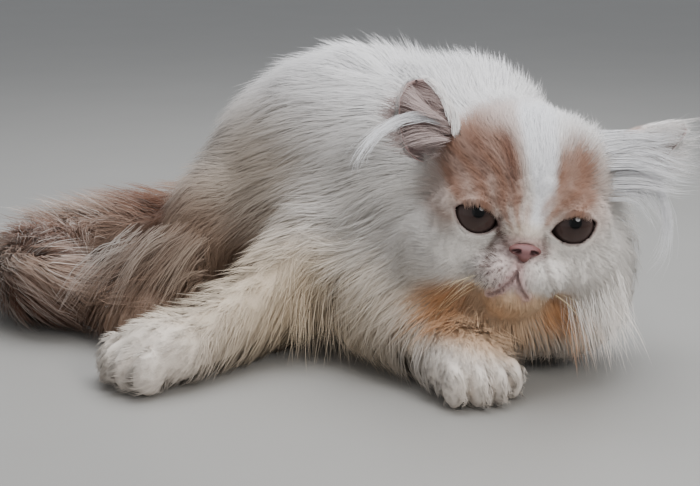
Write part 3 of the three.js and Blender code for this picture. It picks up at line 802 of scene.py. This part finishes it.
def sphere(rings=64, columns=96):
    """A ball of radius one as triangles: (sin v cos h, -cos v, sin v sin h) over both its angles, with
    one point at each pole."""
    v, h = np.linspace(0, np.pi, rings + 1), np.linspace(0, 2 * np.pi, columns + 1)[:-1]
    v, h = np.meshgrid(v, h, indexing="ij")
    ways = np.stack([np.sin(v) * np.cos(h), -np.cos(v), np.sin(v) * np.sin(h)], -1)[1:-1].reshape(-1, 3)
    k, j = np.meshgrid(np.arange(rings - 2), np.arange(columns), indexing="ij")
    near, far = k * columns + j, k * columns + (j + 1) % columns
    quads = np.stack([near, near + columns, far + columns, far], -1).reshape(-1, 4)
    front, back = np.full(columns, len(ways)), np.full(columns, len(ways) + 1)
    last = (rings - 2) * columns
    fans = [np.stack([front, near[0], far[0]], 1), np.stack([back, last + far[0], last + near[0]], 1)]
    triangles = np.concatenate([quads[:, [0, 1, 2]], quads[:, [0, 2, 3]], *fans])
    return np.concatenate([ways, [[0, -1, 0], [0, 1, 0]]]), triangles


WET = dict(Roughness=0.6, Specular_IOR_Level=0.0, Coat_Weight=0.5, Coat_Roughness=0.02)
eye_finish = finish("wet_eye", eye_look, **WET)
EYE_NODES = {-1: "eye_right", 1: "eye_left"}
eye_ways, eye_triangles = sphere()
for side, node in EYE_NODES.items():
    eye = put("ball_" + node, EYES[side] + EYE_RADIUS * eye_ways @ HEAD_TURN.T, eye_triangles, eye_finish)
    pupil = np.array([GAZE[side][0], 0, GAZE[side][1]])
    pupil[1] = -math.sqrt(1 - pupil @ pupil)
    layer = eye.data.attributes.new("gaze", "FLOAT", "POINT")
    layer.data.foreach_set("value", distance(eye_ways, pupil).astype(np.float32))
    smooth(eye)
    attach(eye, "root")
    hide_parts(node)

# The nose leather: a small wedge of bare, moist skin with two slanted nostrils, set into the face. Its
# edge is darker, and its nostrils are darkened with painted shade.
NOSTRIL = (2.3, 1.8, 1.0)
NOSTRIL_SLANT = 24
NOSE_GRID, NOSE_REACH = 0.32, (8.6, 5.0, 8.0)
LEATHER, LEATHER_EDGE, NOSTRIL_PAINTED_SHADE = linear(128, 90, 90), linear(112, 72, 68), linear(58, 28, 28)
nostril_at = {side: on_head(side * 4.3, -2.6, -0.4, NOSE_AT) for side in SIDES}
nostrils = [ball(nostril_at[side], NOSTRIL, HEAD_TURN @ turn(0, side * NOSTRIL_SLANT)) for side in SIDES]
leather = cut(0.5, nose_form(0), *nostrils)
nose_steps = [np.arange(at - half, at + half, NOSE_GRID) for at, half in zip(NOSE_AT, NOSE_REACH)]
nose_points, nose_faces = net(leather, *nose_steps)


def tint_look():
    """The colours kept as tint, as they are."""
    return {"Base Color": Wire.node("Attribute", {"attribute_name": "tint"})}


nose = put("nose_leather", nose_points, nose_faces, finish("moist_leather", tint_look, Roughness=0.6))
from_nostril = np.minimum.reduce([ball(at, NOSTRIL)(nose_points) for at in nostril_at.values()])
from_middle = np.linalg.norm((nose_points - NOSE_AT) @ HEAD_TURN[:, [0, 2]] / (7.6, 4.6), axis=1)
nose_colours = np.tile(LEATHER, (len(nose_points), 1))
nose_colours = blend(nose_colours, LEATHER_EDGE, eased((from_middle - 0.45) / 0.45))
# Painted shade in the shallow nostrils, for the dark of their openings.
nose_colours = blend(nose_colours, NOSTRIL_PAINTED_SHADE, eased((0.7 - from_nostril) / 0.9))
colour_points(nose, nose_colours)
smooth(nose)
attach(nose, "root")
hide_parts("nose")

# The coat: tapered strands of hair in tufts, rooted in the skin. Each tuft follows the lie of the coat
# over the body and rises from the skin to its tip, and its strands are spread round it.
ZONE_KEYS = ("form", "middle", "turned", "length", "low", "high")
ZONE_TABLE = {  # the hair's form, its middle and turn, its length, and its height over the form, low and high
    "torso": (torso, (38, 52, 62), TRUNK, 48, -5, 9),
    "neck": (neck, on_head(0, 20, -12), HEAD_TURN, 44, -5, 10),
    "head": (head, on_head(0, 4, 0), HEAD_TURN, 12, -1.5, 2.5),
    "foreleg_right": (foreleg_right, (4, -40, 34), turn(125), 26, -4, 6),
    "foreleg_left": (foreleg_left, (64, -66, 30), turn(-155), 26, -4, 6),
    "hindleg_right": (hindleg_right, (-38, 60, 32), turn(170), 36, -4, 7),
    "hindleg_left": (hindleg_left, (76, 116, 36), turn(205), 36, -4, 7),
    "tail": (tail, (-120, 60, 25), turn(0), 48, -7, 13),
    "paws": (paws, (0, -40, 14), turn(0), 10, -1.5, 2.9),
}
ZONES = {name: dict(zip(ZONE_KEYS, values)) for name, values in ZONE_TABLE.items()}
ZONE_NAMES = list(ZONES)
LEG_WAYS = {
    "foreleg_right": (-64, -72, -33),
    "foreleg_left": (2, -66, -34),
    "hindleg_right": (-34, -76, -23),
    "hindleg_left": (56, -70, -30),
}
PAW_MIDDLES = np.array([form["at"] for form in PAWS.values()], float)
PAW_WAYS = np.array([turn(form["yaw"]) @ np.array([0, 1, -0.25]) for form in PAWS.values()])


def zone_shares(points):
    """How much each zone counts at points: nearest most, with soft borders, as e^(-distance / 5 mm)."""
    away = np.stack([zone["form"](points) for zone in ZONES.values()], 1)
    shares = np.exp(-(away - away.min(1, keepdims=True)) / 5)
    return shares / shares.sum(1, keepdims=True)


def beside(points):
    """How much a point belongs to the long hair that hangs beside the cheeks."""
    right = patch(points, on_head(-54, 10, -14), (34, 36, 44), 0.6)
    return np.maximum(right, patch(points, on_head(46, 6, -18), (24, 30, 40), 0.6))


def lie(points, shares):
    """The way that the coat runs at points, as each zone has it, mixed by their shares."""
    down = np.array([0, 0, -1.0])
    tail_steps = along_line(TAIL_LINE, np.linspace(0, 1, 61))
    last = len(tail_steps) - 1
    nearest = np.argmin(((points[:, None] - tail_steps[None, ::2]) ** 2).sum(2), 1) * 2
    tangent = unit(tail_steps[np.minimum(nearest + 1, last)] - tail_steps[np.maximum(nearest - 1, 0)])
    nearest_paw = np.argmin(((points[:, None] - PAW_MIDDLES[None]) ** 2).sum(2), 1)
    fall = (0.45 + 1.8 * beside(points))[:, None] * down
    ways = {
        "torso": TRUNK[:, 1] + 0.75 * down + 0 * points,
        "neck": unit(points - on_head(0, 0, 6)) + 0.55 * HEAD_TURN[:, 1] + fall,
        "head": unit(points - on_head(0, -46, -3)) + 0.12 * down,
        "tail": tangent + 0.2 * unit(points - tail_steps[nearest]) + 0.2 * down,
        "paws": PAW_WAYS[nearest_paw],
    }
    for name, way in LEG_WAYS.items():
        ways[name] = unit(np.array([way], float)) + 0.45 * down + 0 * points
    return sum(shares[:, k : k + 1] * unit(ways[name]) for k, name in enumerate(ZONE_NAMES))


SWAY, SWAY_SIZE = 0.22, 11.0  # how far a tuft strays from the lie of the coat, and over what length


def lay(roots, shares, length, low, high, steps=5):
    """Paths of tufts: over the body at a height that grows along them as share^0.8."""
    place, paths, normals = roots.copy(), [], []
    for k in range(steps + 1):
        height = low + (high - low) * (k / steps) ** 0.8
        normal = slope(body, place, 1.0)
        for _ in range(2):
            place = place + normal * (height - body(place))[:, None]
        normal = slope(body, place, 1.0)
        paths.append(place.copy())
        normals.append(normal)
        way = unit(lie(place, shares)) + SWAY * swirl(place, SWAY_SIZE)
        way -= normal * (way * normal).sum(1, keepdims=True)
        place = place + unit(way) * (length / steps)[:, None]
    return np.stack(paths, 1), np.stack(normals, 1)


BEND, LIFT = 0.06, 0.2  # how far strands bend aside, in their lengths, and rise, in their tuft's spread
SOFT = 0.9  # how much of a strand's shading follows the body under it, and not its own sides


def strands(paths, normals, random, count, spread, gather, width, steps, shortest=0.65, soft=SOFT):
    """Strands for each tuft: three-sided rods that taper to a tip along a shifted copy of its path. With
    them come the ways that they face: the body's own way out, mixed with each side's, so that the coat
    takes the light as one soft surface."""
    tufts, nodes = paths.shape[:2]
    each = (tufts, count, 1, 1)
    share = np.linspace(0, 1, steps + 1)
    place = random.uniform(shortest, 1, (tufts, count, 1)) * share * (nodes - 1)
    low = np.minimum(place.astype(int), nodes - 2)
    part = (place - low)[..., None]
    which = np.arange(tufts)[:, None, None]
    line = paths[which, low] * (1 - part) + paths[which, low + 1] * part
    up = normals[which, low] * (1 - part) + normals[which, low + 1] * part
    body_way = unit(up)
    along = unit(np.gradient(line, axis=2))
    side = unit(np.cross(along, up))
    up = np.cross(side, along)
    angle = random.uniform(0, 2 * np.pi, each)
    away = spread * np.sqrt(random.uniform(0, 1, each))
    share = share[:, None]
    span = np.linalg.norm(line[:, :, -1:] - line[:, :, :1], axis=3, keepdims=True)
    bend = random.normal(0, BEND, each) * span
    lift = random.normal(0, LIFT, each) * spread
    line = line + side * (away * np.cos(angle) * (1 - gather * share) + bend * share**2)
    line = line + along * away * np.sin(angle) + up * lift * share
    taper = (1 - share**1.6) * (0.75 + 0.5 * np.minimum(share * 3, 0.5))
    half = width / 2 * random.uniform(0.7, 1.25, each) * taper
    outs = [side * math.cos(a) + np.cross(along, side) * math.sin(a) for a in 2 * np.pi * np.arange(3) / 3]

    def rod(corners, tips):
        """Three corners to each ring along a strand, and one point at its tip."""
        rings = np.stack(corners, 3)[:, :, :steps].reshape(tufts, count, steps * 3, 3)
        return np.concatenate([rings, tips[:, :, -1:]], 2).reshape(-1, steps * 3 + 1, 3)

    facing = rod([(1 - soft) * out + soft * body_way for out in outs], body_way)
    return rod([line + half * out for out in outs], line), facing


def strand_faces(number, steps):
    """The triangles of closed three-sided rods: a foot, the sides, and a tip."""
    one = [(0, 2, 1)]
    for ring in range(steps - 1):
        for corner in range(3):
            a, b = ring * 3 + corner, ring * 3 + (corner + 1) % 3
            one += [(a, b, b + 3), (a, b + 3, a + 3)]
    last = (steps - 1) * 3
    one += [(last + corner, last + (corner + 1) % 3, last + 3) for corner in range(3)]
    starts = np.arange(number)[:, None, None] * (steps * 3 + 1)
    return (np.array(one)[None] + starts).reshape(-1, 3)


HAIR = finish("hair", tint_look, Roughness=0.7, Specular_IOR_Level=0.25)
STRAND_PLACE = 0.003  # the width of a strand's place on the unwrap
# Painted shade among the strands: each is darker at its root and lighter towards its tip.
ROOT_PAINTED_SHADE, SHADE_RISE, BRIGHTEST = 0.96, 0.06, 0.92


def coat(name, rods, facing, steps, colours, places):
    """One piece of the coat from its strands, the ways they face, a colour for each, darkened near the root
    as painted shade and lightening to the tip, and the roots' places on the unwrap."""
    number, points = rods.shape[:2]
    piece = put(name, rods.reshape(-1, 3), strand_faces(number, steps), HAIR)
    ring = np.append(np.repeat(np.arange(steps), 3), steps) / steps
    shade = ROOT_PAINTED_SHADE + SHADE_RISE * ring
    colour_points(piece, np.clip(colours[:, None] * shade[None, :, None], 0, BRIGHTEST).reshape(-1, 3))
    corner = np.append(np.tile(np.arange(3), steps), 0)
    offset = np.stack([(corner - 1) * STRAND_PLACE / 2, (ring - 0.5) * STRAND_PLACE], 1)
    uv = np.clip(places[:, None] + offset[None], 0, 1).reshape(-1, 2)
    index = np.empty(len(piece.data.loops), np.int32)
    piece.data.loops.foreach_get("vertex_index", index)
    layer = piece.data.uv_layers.new(name="OFBake")
    layer.uv.foreach_set("vector", uv[index].astype(np.float32).ravel())
    smooth(piece)
    ways = piece.data.attributes.new("custom_normal", "FLOAT_VECTOR", "POINT")
    ways.data.foreach_set("vector", unit(facing.reshape(-1, 3)).astype(np.float32).ravel())
    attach(piece, "root")


def unwrap(points, middle, turned):
    """Places on a map of a round form: the turn about its long way, and the angle from it."""
    local = unit((points - np.asarray(middle)) @ turned)
    bearing = np.arctan2(local[:, 0], local[:, 2]) / (2 * np.pi)
    return np.stack([0.5 + bearing, np.arccos(np.clip(local[:, 1], -1, 1)) / np.pi], 1)


skin_quads = skin_vertices[skin_faces]
face_middles = skin_quads.mean(1)
diagonals = skin_quads[:, 2] - skin_quads[:, 0], skin_quads[:, 3] - skin_quads[:, 1]
face_sizes = np.linalg.norm(np.cross(*diagonals), axis=1) / 2
face_zone = np.argmax(zone_shares(face_middles), 1)
UNDERSIDE = 2.0
on_underside = face_middles[:, 2] < UNDERSIDE


def roots_on(zone_names, number, random, weight=None):
    """Random places on the skin within some zones, as many to each area, or as a weight says."""
    chosen = np.isin(face_zone, [ZONE_NAMES.index(name) for name in zone_names]) & ~on_underside
    odds = face_sizes * chosen
    if weight is not None:
        odds = odds * weight(face_middles)
    picked = random.choice(len(skin_faces), number, p=odds / odds.sum())
    s, t = random.uniform(0, 1, (2, number, 1))
    quads = skin_quads[picked]
    near, far = (quads[:, a] * (1 - s) + quads[:, b] * s for a, b in ((0, 1), (3, 2)))
    return near * (1 - t) + far * t


def head_length(points):
    """The length of the hair on the head: shortest by the nose, eyes and mouth, longest at the cheeks'
    edge, and grown again on the chin."""
    local = (points - HEAD_AT) @ HEAD_TURN
    from_nose = distance(local, (0, -36, -8))
    length = 3.2 + 16 * eased((from_nose - 18) / 42) + 14 * eased((from_nose - 44) / 28)
    for side in SIDES:
        length = np.minimum(length, 3.0 + 0.6 * np.maximum(distance(points, EYES[side]) - 12, 0))
    chin = patch(points, on_head(0, -34, -36), (16, 16, 8), 0.5)
    return np.minimum(length, 3.0 + 0.7 * np.maximum(from_mouth(points), 0)) + 7 * chin


def face_first(points):
    """More hair to each area on the face than on the back of the skull, which the ruff hides."""
    local = (points - HEAD_AT) @ HEAD_TURN
    return np.where(local[:, 1] < 6, 1.0, 0.35)


def clear_of_face(rods):
    """Which strands keep off the eyes, the nose and the mouth."""
    points = rods.reshape(-1, 3)
    blocked = (nose_form(0.1)(points) < 0) | (from_mouth(points) < -0.2)
    for side in SIDES:
        blocked |= (distance(points, EYES[side]) < EYE_RADIUS + 9) & (lid_opening(side)(points) < 0.3)
    return ~blocked.reshape(rods.shape[:2]).any(1)


LOWEST_HAIR = 0.8
TONE = 0.035  # how far the tone varies from tuft to tuft, and again from strand to strand
COATS = {  # zones, tufts, strands in each, their spread, gather and width, their rings, and the pieces
    "trunk_coat": (["torso"], 3400, 9, 6.0, 0.05, 0.5, 2, 2),
    "ruff": (["neck"], 3300, 9, 5.4, 0.05, 0.46, 2, 2),
    "face_fur": (["head"], 7000, 6, 2.2, 0.1, 0.28, 2, 3),
    "leg_coat": (list(LEG_WAYS), 1900, 7, 4.0, 0.15, 0.5, 2, 1),
    "plume": (["tail"], 1020, 8, 6.0, 0.25, 0.46, 3, 1),
    "paw_fur": (["paws"], 1700, 5, 2.0, 0.1, 0.38, 2, 1),
}
for number, (name, form) in enumerate(COATS.items()):
    zone_names, tufts, count, spread, gather, width, steps, pieces = form
    random = np.random.default_rng(number + 3)
    roots = roots_on(zone_names, tufts, random, face_first if name == "face_fur" else None)
    roots = roots[np.argsort(roots @ TRUNK[:, 1])]
    shares = zone_shares(roots)
    hair = {key: shares @ np.array([zone[key] for zone in ZONES.values()], float) for key in ZONE_KEYS[3:]}
    length = hair["length"] * random.uniform(0.75, 1.15, tufts)
    on_skull = shares[:, ZONE_NAMES.index("head")]
    length = length * (1 - on_skull) + head_length(roots) * on_skull
    high = hair["high"] * random.uniform(0.7, 1.15, tufts)
    high = high * (1 - on_skull) + (hair["low"] + 0.8 + 0.26 * length) * on_skull
    hanging = beside(roots) * (1 - on_skull)
    by_ear = patch(roots, on_head(40, 2, 34), (20, 24, 22), 0.6)
    length = length + 18 * hanging + 10 * by_ear
    high = high + random.uniform(2, 13, tufts) * hanging + random.uniform(3, 13, tufts) * by_ear
    paths, normals = lay(roots, shares, length, hair["low"] - 1.0, high)
    rods, facing = strands(paths, normals, random, count, spread, gather, width, steps, shortest=0.5)
    rods[..., 2] = np.maximum(rods[..., 2], LOWEST_HAIR + 1.5 * random.uniform(0, 1, (len(rods), 1)))
    tuft = np.repeat(np.arange(tufts), count)
    visible_part = rods[:, 3] + random.normal(0, 0.4 if name == "face_fur" else 1.5, (len(rods), 3))
    strand_tone, tuft_tone = random.normal(0, 1, (len(rods), 1)), random.normal(0, 1, (tufts, 1))
    colours = markings(visible_part) * (1 + TONE * strand_tone + TONE * tuft_tone[tuft])
    places = np.zeros((len(rods), 2))
    own_zone = np.argmax(shares[tuft][:, [ZONE_NAMES.index(zone_name) for zone_name in zone_names]], 1)
    for k, zone_name in enumerate(zone_names):
        own = own_zone == k
        zone = ZONES[zone_name]
        places[own] = unwrap(rods[own, 0], zone["middle"], zone["turned"])
        places[own, 0] = (places[own, 0] + k) / len(zone_names)
    kept = clear_of_face(rods) if name in ("face_fur", "ruff") else np.ones(len(rods), bool)
    slot = "plume" if name == "plume" else "coat"
    for piece, part in enumerate(np.array_split(np.nonzero(kept)[0], pieces)):
        label = name if pieces == 1 else name + "_" + "abc"[piece]
        coat(label, rods[part], facing[part], steps, colours[part], places[part])

# Long locks that hang clear of the body: the end of the ruff beside the left cheek, the hair of the chest
# between the forelegs, and the feathering over the hind foot. Each group runs from one box to another,
# and its tufts bow outwards on the way.
# A shade below one is painted shade: the chest locks are painted a little darker and the hind locks most, as
# they hang in the body's shadow.
HANGING = {  # the boxes that its tufts start and end in, their number, their bow, and their shade
    "cheek_locks": ([(138, -88, 44), (158, -62, 84)], [(146, -110, 5), (174, -76, 14)], 210, 7, 1.0),
    "chest_locks": ([(8, -50, 30), (66, -24, 56)], [(-2, -92, 1), (66, -66, 10)], 150, 9, 0.9),
    "hind_locks": ([(-86, -20, 16), (-40, 40, 50)], [(-110, -66, 3), (-56, -36, 18)], 190, 9, 0.62),
}
LOCK_SET = dict(count=7, spread=6.0, gather=0.3, width=0.4, steps=3, shortest=0.5, soft=0.6)
for number, (name, (start_box, end_box, tufts, bow, shade)) in enumerate(HANGING.items()):
    random = np.random.default_rng(number + 60)
    part = random.uniform(0, 1, (tufts, 1, 3))
    start, end = (low + part * (high - low) for low, high in np.array([start_box, end_box], float))
    end = end + random.normal(0, 4.0, end.shape) * (1, 1, 0.6)
    run = unit((end - start)[:, 0])
    away = unit(np.cross(run, (0, 0, 1.0)))
    away = unit(np.cross(away, run))[:, None] * random.uniform(0.4, 1.4, (tufts, 1, 1))
    step = np.linspace(0, 1, 6)[None, :, None]
    path = start + (end - start) * step + away * bow * 4 * step * (1 - step)
    path = path + 5 * step**2 * swirl(start[:, 0], 12.0)[:, None]
    rods, facing = strands(path, unit(away).repeat(6, axis=1), random, **LOCK_SET)
    rods[..., 2] = np.maximum(rods[..., 2], LOWEST_HAIR)
    # The shade multiplies each group's colour, as painted shade for the locks low in the body's shadow.
    colours = markings(rods[:, 4]) * (1 + 0.05 * random.normal(0, 1, (len(rods), 1))) * shade
    zone = ZONES["hindleg_right" if name == "hind_locks" else "neck"]
    coat(name, rods, facing, 3, colours, unwrap(rods[:, 0], zone["middle"], zone["turned"]))

# The brows: short hairs that overhang the upper lids, so that the eyes look heavy. They are rooted above
# the lids' arcs and run down over the eyeballs.
BROW_OVERHANG = ((-1, 1.7), (1, 0.7))  # side, and how far the longest hairs reach below the lid's edge
BROW_ROOT = 2.6
BROW_TUFTS = 150
BROW_SET = dict(count=2, spread=0.6, gather=0.0, width=0.2, steps=2, shortest=0.7)
random = np.random.default_rng(90)
brow_paths = []
step = np.linspace(0, 1, 6)
lid_radius = arc_radius(LID_ABOVE)
for side, overhang in BROW_OVERHANG:
    x = random.uniform(-8.8, 9.2, (BROW_TUFTS, 1))
    arc = LID_ABOVE - lid_radius + np.sqrt(lid_radius**2 - x**2)
    y = arc + BROW_ROOT - (BROW_ROOT + overhang * random.uniform(0.2, 1, x.shape)) * step
    x = x - 1.5 * step
    across = x * math.cos(LID_SLANT) - y * math.sin(LID_SLANT)
    up = x * math.sin(LID_SLANT) + y * math.cos(LID_SLANT)
    out = -np.sqrt(np.maximum((EYE_RADIUS + 1.7) ** 2 - across**2 - up**2, 4))
    brow_paths.append(EYES[side] + np.stack([side * across, out, up], -1) @ HEAD_TURN.T)
brow_paths = np.concatenate(brow_paths)
rods, facing = strands(brow_paths, np.tile(-HEAD_TURN[:, 1], (len(brow_paths), 6, 1)), random, **BROW_SET)
coat("brows", rods, facing, 2, markings(rods[:, 0]), unwrap(rods[:, 0], HEAD_AT, HEAD_TURN))

# The ears' hair: short on the backs, a fringe along the rims, and long, pale wisps that spring out of
# the cups and curve outwards. Each wisp follows a line given from the middle of the skull.
CURL = [(-42, 4, 42), (-51, -5, 45), (-60, -6, 43), (-69, -6, 37)]
CURL += [(-75, -6, 30), (-80, -6, 20), (-80, -6, 14)]
DROP = [(52, 4, 32), (62, -4, 30), (71, -4, 16), (75, -4, 3), (74, -4, -12), (69, -4, -21)]
WISPS = {  # line, how far the hairs draw together, their number and spread, and whether they line the cup
    "right": [
        (CURL, 0.75, 120, 5.0, False),
        ([(-44, 4, 46), (-52, -4, 50), (-60, -6, 54), (-71, -6, 55)], 0.0, 130, 9.0, True),
        ([(-42, 2, 36), (-48, -6, 37), (-57, -7, 34), (-66, -7, 27)], 0.1, 110, 8.0, True),
    ],
    "left": [
        (DROP, 0.9, 120, 4.0, False),
        ([(40, 0, 36), (56, -6, 38), (72, -5, 34), (83, -4, 35)], 0.2, 170, 9.0, False),
        ([(42, 0, 26), (58, -6, 29), (71, -5, 27), (81, -4, 27)], 0.2, 170, 9.0, False),
        ([(42, 0, 20), (55, -5, 21), (64, -5, 15), (72, -5, 5)], 0.4, 130, 8.0, False),
        ([(34, 2, 40), (50, -2, 45), (66, -1, 47), (83, 0, 55)], 0.75, 150, 8.0, False),
    ],
}
CUP_HAIR = {"right": linear(196, 178, 174), "left": linear(236, 232, 230)}
BACK_TUFTS, CUP_TUFTS = 560, 240
BACK_SET = dict(count=5, spread=1.8, gather=0.2, width=0.34, steps=2)
CUP_SET = dict(count=6, spread=2.0, gather=0.1, width=0.26, steps=2, soft=0.3)
WISP_SET = dict(width=0.26, steps=5, shortest=0.5, soft=0.55)
for number, (name, ear) in enumerate(EARS.items()):
    random = np.random.default_rng(number + 40)
    tall, _, forward = ear_axes(ear)
    aside = HEAD_TURN[:, 0] * (-1 if name == "right" else 1)
    step = np.linspace(0, 1, 4)[:, None]
    share = random.uniform(0.02, 0.9, (BACK_TUFTS, 1))
    angle = np.radians(random.uniform(*EAR_ARC, (BACK_TUFTS, 1)))
    grown = np.clip(share + step[:, 0] * 10 / ear["height"], 0, 0.985)
    wall = ear_place(ear, grown, angle)
    out = unit(wall - ear_place(ear, grown, angle, 5.0))
    groups = [strands(wall + out * (step * 1.8 - 0.4), out, random, **BACK_SET)]
    tip = patch(groups[0][0][:, 3], on_head(51, 2, 44), (9, 14, 7), 0.5)
    shades = [blend(WHITE * 0.6 + COOL * 0.4, TAN * 1.2, tip * 0.8)]
    share = random.uniform(0.04, 0.86, CUP_TUFTS)
    angle = np.radians(random.uniform(-20, 200, CUP_TUFTS))
    start = ear_place(ear, share, angle, 1.8)
    way = unit(0.5 * forward + 0.75 * aside + 0.35 * tall + 0.25 * random.normal(0, 1, (CUP_TUFTS, 3)))
    length = random.uniform(8, 17, (CUP_TUFTS, 1, 1)) * (1.5 if name == "left" else 1.0)
    inner = start[:, None] + way[:, None] * length * step + aside * (3 * step**2)
    groups.append(strands(inner, np.tile(forward, (CUP_TUFTS, 4, 1)), random, **CUP_SET))
    shades.append(CUP_HAIR[name])
    for line, gather, hairs, wide, in_cup in WISPS[name]:
        path = along_line(HEAD_AT + np.array(line, float) @ HEAD_TURN.T, np.linspace(0, 1, 11))[None]
        outwards = np.tile((0.0, 0.0, 1.0 if name == "right" else 0.4) - 0.6 * HEAD_TURN[:, 1], (1, 11, 1))
        groups.append(strands(path, outwards, random, hairs, wide, gather, **WISP_SET))
        shades.append(CUP_HAIR[name] if in_cup else COOL)
    for part, ((rods, facing), shade) in enumerate(zip(groups, shades)):
        shade = shade * (1 + 0.07 * random.normal(0, 1, (len(rods), 1)))
        places = unwrap(rods[:, 0], on_head(*ear["root"]), HEAD_TURN @ turn(0, 90))
        steps = (rods.shape[1] - 1) // 3
        coat("ear_%s_hair_%d" % (name, part + 1), rods, facing, steps, shade, places)

# The whiskers: stiff, pale hairs that spring from the pads beside the mouth and droop outwards. Those on
# the cat's right are more and longer.
WHISKERS = {  # their number, where they spring from, to the face's left and up, and their length
    -1: (8, (-23, -16), (-27, -19), (18, 30)),
    1: (5, (17, 21), (-30, -25), (12, 18)),
}
WHISKER_SET = dict(count=1, spread=0.1, gather=0.0, width=0.17, steps=5, shortest=0.95, soft=0.2)
DROOP = 0.4
STRAW = linear(226, 208, 168)
random = np.random.default_rng(77)
whisker_paths = []
step = np.linspace(0, 1, 7)[:, None]
for side, (amount, across, up, lengths) in WHISKERS.items():
    for _ in range(amount):
        foot = on_face([(random.uniform(*across), random.uniform(*up))], -0.5)[0]
        length = random.uniform(*lengths)
        out = HEAD_TURN @ np.array([side * 0.9, -0.30, random.uniform(-0.5, 0.05)])
        out /= np.linalg.norm(out)
        path = foot + out * length * step + np.array([0, 0, -1.0]) * (DROOP * length * step**2)
        whisker_paths.append(path)
upwards = np.tile([0.0, 0.0, 1.0], (len(whisker_paths), 7, 1))
rods, facing = strands(np.array(whisker_paths), upwards, random, **WHISKER_SET)
coat("whiskers", rods, facing, 5, np.tile(STRAW, (len(rods), 1)), unwrap(rods[:, 0], HEAD_AT, HEAD_TURN))
